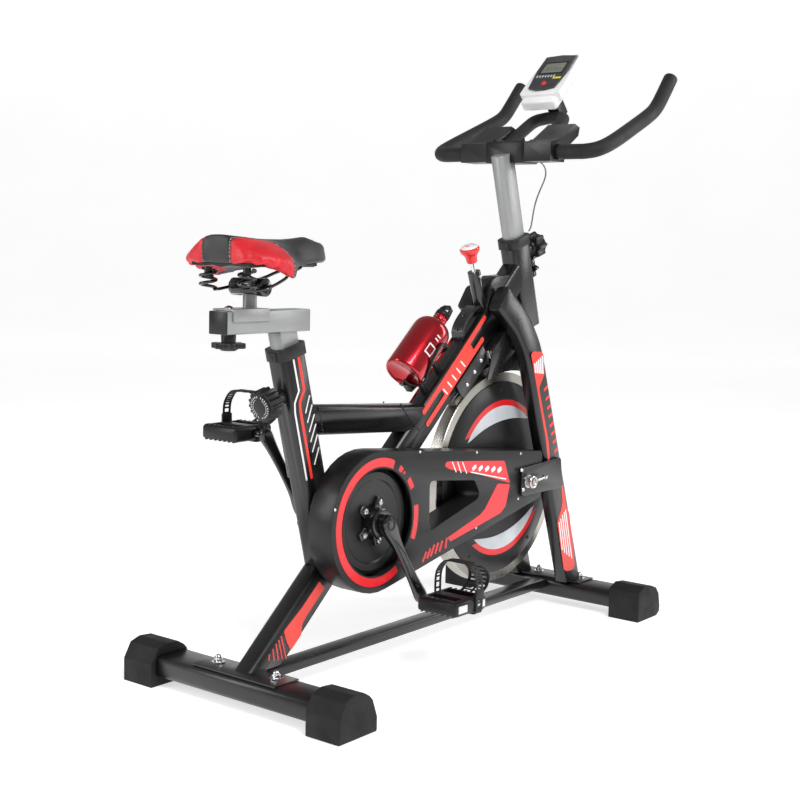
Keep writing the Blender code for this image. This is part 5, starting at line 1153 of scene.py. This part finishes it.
# Saddle pan: a vacuum-formed black plastic shell that closes the foam underneath, ribbed along its length.
shape = bmesh.new()
bmesh.ops.create_grid(shape, x_segments=24, y_segments=12, size=0.5)
for vert in shape.verts:
    u, side = vert.co.x + 0.5, 2 * vert.co.y
    vert.co = (SADDLE_BACK + 0.016 + (SADDLE_RUN - 0.040) * u, side * (saddle_half(0.06 + 0.86 * u) - 0.020),
               0.7050 - 0.0020 * math.cos(side * 9) * (1 - abs(side)))
raised(shape, shape.faces[:], (0, 0, 0.006))
pan = make("saddle_pan", shape, satin_plastic, smooth=50)
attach(pan, "saddle")

# Pull-pin knobs: fluted black plastic grips on a threaded pin through the post's clamp; the seat post's knob has a
# ring of pale printed ticks on its face. A small star knob under the front one locks the bar post.
def pull_knob(name, node, body, top, lean, down, way, grip, lobes=16, ticks=True):
    """A fluted grip on its stem, standing off the tube's face on its back (-1) or its front (1)."""
    tilt = math.radians(lean)
    outward = Vector((way * math.cos(tilt), 0, way * math.sin(tilt)))
    stand = Vector((top[0] + down * math.sin(tilt), 0, top[1] - down * math.cos(tilt))) + outward * 0.028
    place = upright(stand, outward)
    shape = fluted(lobed(grip, 0.0512 / lobes, lobes, 10), 0.0235, 0.0500, place, bmesh.new(), 0.0016)
    spun([(grip * 0.80, 0.0500), (grip * 0.80, 0.0516), (grip * 0.76, 0.0522), (0, 0.0522), (0, 0.0490)],
         place, 64, shape)
    spun([(0.0044, 0.0004), (0.0116, 0.0004), (0.0120, 0.0020), (0.0120, 0.0210), (0.0160, 0.0260),
          (0.0044, 0.0260)], place, 40, shape)
    spun([(0, 0.030), (0.0042, 0.030), (0.0042, -0.0024), (0, -0.0024)], place, 20, shape)
    made = make(name, shape, satin_plastic, smooth=32)
    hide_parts(node)
    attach(made, body)
    if ticks:
        shape = bmesh.new()
        for step in range(26):
            if step in (6, 19):
                continue
            tick = block((grip * 0.60, -0.0009, 0.0520), (grip * 0.71, 0.0009, 0.0523), 0.0001, 1)
            bmesh.ops.transform(tick, matrix=place @ Matrix.Rotation(2 * math.pi * step / 26, 4, "Z"),
                                verts=tick.verts)
            gather(shape, tick)
        for start, end in ((-62, 62), (118, 242)):
            arc = sector(start, end, grip * 0.50, grip * 0.53, (0, 0), 16)
            base = shape.faces.new([shape.verts.new(place @ Vector((x, y, 0.0521))) for x, y in arc])
            raised(shape, [base], outward * 0.0002)
        dial = make(f"{name}_ticks", shape, grey_film, smooth=30)
        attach(dial, body)


pull_knob("seat_pull_knob", "seat_post_knob", "seat_pin", (-0.3984, 0.574), 15.0, 0.076, -1, 0.0270)
pull_knob("bar_pull_knob", "bar_post_knob", "bar_pin", (0.2596, 0.760), 17.0, 0.034, 1, 0.0270, 8, False)
tilt = math.radians(17)
outward = Vector((math.cos(tilt), 0, math.sin(tilt)))
stand = Vector((0.2596 + 0.074 * math.sin(tilt), 0, 0.760 - 0.074 * math.cos(tilt))) + outward * 0.0275
shape = fluted(lobed(0.0200, 0.0070, 6, 8), 0.0100, 0.0200, upright(stand, outward), bmesh.new(), 0.0014)
spun([(0, 0.0004), (0.0080, 0.0004), (0.0080, 0.0110), (0, 0.0110)], upright(stand, outward), 32, shape)
spun([(0, 0.0215), (0.0060, 0.0210), (0.0090, 0.0188), (0, 0.0188)], upright(stand, outward), 32, shape)
lock = make("bar_lock_knob", shape, gloss_black, smooth=32)
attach(lock, "frame")

# Brake: a red plastic knob with a white cap, screwed on a bright rod that runs down a black sleeve, and a felt pad
# on a pressed arm over the wheel's rim.
UP = Vector((-math.sin(math.radians(20.5)), 0, math.cos(math.radians(20.5))))
KNOB_AT = Vector((0.1306, 0, 0.684)) + UP * 0.030
dial_red = finish_of("dial_red", 0.28, coat=0.35)
coloured(dial_red, (0.68, 0.012, 0.012), (0.80, 0.024, 0.022), 30)
glossed(dial_red, 0.20, 0.36, 40)
grained(dial_red, 700, 0.00006)
shell_white = finish_of("shell_white", 0.32, coat=0.3)
coloured(shell_white, (0.80, 0.80, 0.80), (0.88, 0.88, 0.88), 12)
glossed(shell_white, 0.26, 0.40, 30)
grained(shell_white, 900, 0.00005)
place = upright(KNOB_AT, UP)
shape = spun([(0.0043, 0.0), (0.0092, 0.0), (0.0104, 0.0020), (0.0108, 0.0085), (0.0118, 0.0130),
              (0.0152, 0.0180), (0.0185, 0.0225),
              (0.0192, 0.0265), (0.0188, 0.0292), (0.0172, 0.0304), (0.0043, 0.0300)], place, 64)
knob = make("brake_dial", shape, dial_red, smooth=40)
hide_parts("brake_knob")
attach(knob, "brake_dial")
shape = spun([(0, 0.0362), (0.0060, 0.0358), (0.0120, 0.0344), (0.0158, 0.0322), (0.0171, 0.0305),
              (0, 0.0303)], place, 64)
knob_cap = make("brake_dial_cap", shape, shell_white, smooth=60)
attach(knob_cap, "brake_dial")
shape = bmesh.new()
for start, end in ((20, 130), (200, 310)):
    arc = sector(start, end, 0.0068, 0.0110, (0, 0), 14)
    base = shape.faces.new([shape.verts.new(place @ Vector((x, y,
                                                            0.0362 - 0.9
                                                            * (math.hypot(x, y) ** 2) / 0.0135 / 4))) for x,
                            y in arc])
    raised(shape, [base], UP * 0.0004)
arrows = make("brake_dial_marks", shape, dial_red, smooth=60)
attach(arrows, "brake_dial")
dress("brake_rod", bright_chrome, 0.0004)
dress("brake_sleeve", gloss_black, 0.0010, 3)
wool_felt = finish_of("wool_felt", 0.95, sheen=0.3)
coloured(wool_felt, (0.10, 0.08, 0.06), (0.20, 0.165, 0.13), 160)
glossed(wool_felt, 0.85, 1.0, 60)
grained(wool_felt, 1400, 0.0006)
dress("brake_pad", wool_felt, 0.0010)
dress("brake_arm", gloss_black, 0.0010)
dress("brake_channel", black_coat, 0.0008)
dress("flywheel_shroud", gloss_black, 0.0016, 3)
shape = bmesh.new()
for sign in (-1, 1):
    for x, z in ((0.1256, 0.527), (0.1056, 0.506), (0.0826, 0.483)):
        spun([(0, 0.0030), (0.0028, 0.0026), (0.0044, 0.0008), (0.0044, 0), (0, 0)],
             upright((x, sign * 0.0229, z), (0, sign, 0)), 20, shape)
spun([(0, 0.0030), (0.0030, 0.0024), (0.0040, 0), (0, 0)],
     upright(Vector((0.1306, -0.0124, 0.684)) + UP * 0.002, (0, -1, 0)), 20, shape)
channel_bolts = make("brake_bolts", shape, zinc)
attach(channel_bolts, "frame")
HOOK = [(0.0930, 0.020), (0.0935, 0.026), (0.0990, 0.036), (0.1180, 0.043), (0.1500, 0.043), (0.1700, 0.036),
        (0.1745, 0.028), (0.1750, 0.020)]


def on_main(s, n, y=0.0):
    """The point s up the main tube's line and n above it."""
    c, k = math.cos(math.radians(41.5)), math.sin(math.radians(41.5))
    return Vector((-0.4464 + s * c - n * k, y, 0.060 + s * k + n * c))


def strap(points, rise, fall, low, high, shape):
    """A bar that follows the points in the side plane, between two heights over them and two widths."""
    ways = [(points[min(i + 1, len(points) - 1)] - points[max(i - 1, 0)]).normalized()
            for i in range(len(points))]
    above = [Vector((-way.z, 0, way.x)) for way in ways]
    outline = [p + n * rise for p, n in zip(points, above)] + [p - n * fall for p,
        n in reversed(list(zip(points, above)))]
    base = shape.faces.new([shape.verts.new((p.x, low, p.z)) for p in outline])
    raised(shape, [base], (0, high - low, 0))
    return shape


hook = flowing([on_main(0.640 + a, b + 0.0085) for a, b in HOOK], 4)
shape = strap(hook, 0.0012, 0.0012, -0.0115, 0.0115, bmesh.new())
for low, high in ((-0.0128, -0.0112), (0.0112, 0.0128)):
    strap(hook, 0.0014, 0.0052, low, high, shape)
for index in (len(hook) // 3, len(hook) // 2):
    spun([(0, 0.0044), (0.0034, 0.0040), (0.0056, 0.0022), (0.0056, 0.0), (0, 0.0)],
         upright(hook[index], (-0.6626, 0, 0.749)), 24, shape)
guide = make("brake_hook_bracket", shape, gloss_black, smooth=40)
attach(guide, "frame")
shape = bmesh.new()
gusset = [(0.148, 0.618), (0.160, 0.668), (0.166, 0.680), (0.180, 0.6865), (0.224, 0.689), (0.228, 0.682)]
base = shape.faces.new([shape.verts.new((x, -0.0175, z)) for x, z in gusset])
raised(shape, [base], (0, 0.035, 0))
bmesh.ops.bevel(shape, geom=shape.edges[:], offset=0.0016, segments=3, profile=0.5, affect="EDGES",
                material=-1)
plate = make("head_gusset", shape, black_coat, smooth=40)
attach(plate, "frame")

# Handlebar: one bent steel tube with an inner loop welded to it, in slid-on black foam but for the clamped
# middle, with domed plastic plugs in the two ends.
foam = finish_of("foam_grip", 0.62, sheen=0.05)
coloured(foam, (0.008, 0.008, 0.0085), (0.014, 0.014, 0.015), 12)
glossed(foam, 0.50, 0.70, 30)
grained(foam, 2200, 0.00016)
grained(foam, 90, 0.0003, strength=0.3)
BAR_X, BAR_Z = 0.2456, 0.925
bar_half = [(BAR_X, 0.0, BAR_Z), (BAR_X, 0.070, BAR_Z), (BAR_X, 0.140, BAR_Z),
            (BAR_X + 0.003, 0.165, BAR_Z + 0.0005),
            (BAR_X + 0.018, 0.184, BAR_Z + 0.006), (BAR_X + 0.060, 0.190, BAR_Z + 0.022),
            (0.3906, 0.186, 0.981),
            (0.4556, 0.182, 1.008), (0.4826, 0.181, 1.023), (0.5046, 0.181, 1.044), (0.5476, 0.180, 1.092)]


def both_sides(points):
    return [Vector((p[0], -p[1], p[2])) for p in reversed(points)] + [Vector(p) for p in points if p[1] > 0]


bar_line = flowing(both_sides(bar_half), 6)
shape = bmesh.new()
for sign in (-1, 1):
    sleeve = [point for point in bar_line if point.y * sign > 0.106]
    if sign < 0:
        sleeve = sleeve[::-1]
    sleeve[-1] = sleeve[-1] - (sleeve[-1] - sleeve[-2]).normalized() * 0.0015
    part = drawn(sleeve, 0.0145, 7)
    rims = [line for line in part.edges if len(line.link_faces) == 2 and line.calc_face_angle(0) > 1.2]
    bmesh.ops.bevel(part, geom=rims, offset=0.0022, segments=3, profile=0.5, affect="EDGES", material=-1)
    gather(shape, part)
loop_half = [(0.3956, 0.0, 1.006), (0.3916, 0.020, 1.004), (0.3726, 0.034, 0.996), (0.3326, 0.038, 0.972),
             (0.2806, 0.040, 0.941), (BAR_X + 0.004, 0.040, BAR_Z + 0.003)]
loop = drawn(flowing(both_sides(loop_half), 6), 0.0125, 6)
gather(shape, loop)
grips = make("handlebar_foam", shape, foam, smooth=50)
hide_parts("handlebar")
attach(grips, "bar_mast")
shape = drawn([point for point in bar_line if abs(point.y) < 0.118], 0.0130, 6)
bar_core = make("handlebar_tube", shape, black_coat, smooth=50)
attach(bar_core, "bar_mast")
shape = bmesh.new()
for sign in (-1, 1):
    tip = Vector((0.5476, sign * 0.180, 1.092))
    run = tip - Vector((0.5046, sign * 0.181, 1.044))
    spun([(0, 0.0008), (0.0070, 0.0006), (0.0108, -0.0006), (0.0118, -0.0030), (0, -0.0030)],
         upright(tip, run), 40, shape)
    for x0 in (-0.0185, 0.0160):
        hexagon(upright((BAR_X + x0 + 0.002, sign * 0.034, BAR_Z + 0.0216), (0, 0, 1)), 0.0105, 0, 0.0050,
                shape)
ends = make("bar_end_plugs", shape, satin_plastic, smooth=40)
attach(ends, "bar_mast")
dress("handlebar_clamp", satin_plastic, 0.0026, 3)

# Console: a white plastic case on a black steel bracket that rises from the loop, with a dark bezel, a grey
# liquid-crystal panel, a row of pale marks, a yellow bar and the red button.
dress("console_shell", shell_white, 0.0050, 5)
bezel = finish_of("bezel", 0.34, coat=0.2)
coloured(bezel, (0.030, 0.030, 0.034), (0.045, 0.045, 0.050), 20)
glossed(bezel, 0.26, 0.42, 30)
grained(bezel, 1000, 0.00004)
dress("console_face", bezel, 0.0008, 3)
dress("console_button", dial_red, 0.0005, 2)
CONSOLE = Matrix.Translation((0.3766, 0, 1.091)) @ Matrix.Rotation(math.radians(-43), 4, "Y")
lcd = finish_of("lcd_panel", 0.12, coat=0.6)
coloured(lcd, (0.16, 0.175, 0.14), (0.19, 0.205, 0.165), 60)
glossed(lcd, 0.08, 0.16, 60)
grained(lcd, 2500, 0.00002)
mark_yellow = finish_of("mark_yellow", 0.4)
coloured(mark_yellow, (0.72, 0.62, 0.03), (0.82, 0.72, 0.05), 60)
glossed(mark_yellow, 0.32, 0.48, 60)
grained(mark_yellow, 900, 0.00004)


def on_console(name, boxes, finish, edge=0.0003):
    shape = bmesh.new()
    for low, high in boxes:
        block(low, high, edge, 2, shape)
    bmesh.ops.transform(shape, matrix=CONSOLE, verts=shape.verts)
    made = make(name, shape, finish, smooth=30)
    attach(made, "bar_mast")
    return made


on_console("console_window_frame", [((-0.0015, -0.0275, 0.0016), (0.0015, 0.0275, 0.0028)),
                                    ((0.0335, -0.0275, 0.0016), (0.0365, 0.0275, 0.0028)),
           ((-0.0015, -0.0275, 0.0016), (0.0365, -0.0245, 0.0028)),
                                    ((-0.0015, 0.0245, 0.0016), (0.0365, 0.0275, 0.0028))], satin_plastic)
on_console("console_lcd", [((0.0010, -0.0250, 0.0015), (0.0340, 0.0250, 0.0022))], lcd)
on_console("console_digits", [((0.0095 + 0.0075 * (i % 2), -0.0180 + 0.0075 * (i // 2), 0.0021),
                               (0.0105 + 0.0075 * (i % 2), -0.0135 + 0.0075 * (i // 2), 0.00235))
           for i in range(10)] + [((0.0100, -0.0186 + 0.0075 * i, 0.0021),
                                   (0.0175, -0.0178 + 0.0075 * i, 0.00235)) for i in range(5)],
           bezel, 0.0001)
on_console("console_marks", [((-0.0130, 0.0250 - 0.0066 * i, 0.0019),
                              (-0.0060, 0.0250 - 0.0066 * i + 0.0030, 0.0022)) for i in range(7)],
           grey_film, 0.0001)
on_console("console_yellow_mark", [((-0.0190, -0.0320, 0.0019), (-0.0135, -0.0130, 0.0022))], mark_yellow,
           0.0001)
shape = block((-0.0780, -0.0400, -0.0330), (-0.0120, 0.0400, -0.0078), 0.0070, 4)
bmesh.ops.transform(shape, matrix=CONSOLE, verts=shape.verts)
back = make("console_back", shape, shell_white, smooth=40)
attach(back, "bar_mast")
shape = block((-0.040, -0.0125, -0.088), (-0.010, 0.0125, -0.0225), 0.0030, 3)
bmesh.ops.transform(shape, matrix=CONSOLE, verts=shape.verts)
hinge = block((-0.046, -0.020, -0.040), (0.000, 0.020, -0.0224), 0.0040, 3)
bmesh.ops.transform(hinge, matrix=CONSOLE, verts=hinge.verts)
gather(shape, hinge)
neck = make("console_bracket", shape, satin_plastic, smooth=35)
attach(neck, "bar_mast")

# Drink bottle: spun aluminium, lacquered clear red, with a rolled shoulder, a threaded neck and a black screw cap;
# the cap's carrying loop is not modelled. It stands in a moulded cage screwed to the main tube.
red_lacquer = finish_of("red_lacquer", 0.22, 0.85, coat=0.7, coat_roughness=0.06)
coloured(red_lacquer, (0.42, 0.004, 0.012), (0.55, 0.008, 0.020), 14)
glossed(red_lacquer, 0.16, 0.28, 22, (1, 1, 1))
grained(red_lacquer, 500, 0.00003)
along_tube = Vector((math.cos(math.radians(41.5)), 0, math.sin(math.radians(41.5))))
place = upright(on_main(0.568, 0.100), along_tube)
shape = spun([(0, 0.1495), (0.0128, 0.1495), (0.0132, 0.1490), (0.0132, 0.1460), (0.0138, 0.1452),
              (0.0132, 0.1444), (0.0132, 0.1420),
              (0.0138, 0.1412), (0.0132, 0.1404), (0.0132, 0.1378), (0.0150, 0.1366), (0.0154, 0.1350),
              (0.0150, 0.1332), (0.0165, 0.1305),
              (0.0205, 0.1280), (0.0265, 0.1250), (0.0315, 0.1205), (0.0345, 0.1150), (0.0361, 0.1085),
              (0.0365, 0.1010),
              (0.0365, 0.0060), (0.0360, 0.0032), (0.0345, 0.0010), (0.0325, 0.0000), (0.0305, 0.0006),
              (0.0290, 0.0022), (0, 0.0034)], place, 96)
bottle = make("drink_bottle", shape, red_lacquer, smooth=50)
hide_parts("bottle")
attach(bottle, "bottle_set")
dress("bottle_cap", satin_plastic, 0.0012, 3)
dress("bottle_cage", satin_plastic, 0.0010, 3)
shape = bmesh.new()
for start, end, low, high in ((150, 176, 0.044, 0.047), (150, 176, 0.064, 0.067), (150, 153, 0.047, 0.064),
                              (173, 176, 0.047, 0.064),
                              (156, 170, 0.080, 0.083), (156, 170, 0.088, 0.091)):
    rim, lower_row = [], []
    for i in range(9):
        a = math.radians(start + (end - start) * i / 8)
        rim.append(shape.verts.new(place @ Vector((0.0366 * math.cos(a), 0.0366 * math.sin(a), high))))
        lower_row.append(shape.verts.new(place @ Vector((0.0366 * math.cos(a), 0.0366 * math.sin(a), low))))
    faces = [shape.faces.new((rim[i], rim[i + 1], lower_row[i + 1], lower_row[i])) for i in range(8)]
    for vert in raised(shape, faces, (0, 0, 0)):
        spoke = vert.co - on_main(0.568, 0.100)
        spoke -= along_tube * spoke.dot(along_tube)
        vert.co += spoke.normalized() * 0.0002
mark = make("bottle_print", shape, white_film, smooth=60)
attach(mark, "bottle_set")
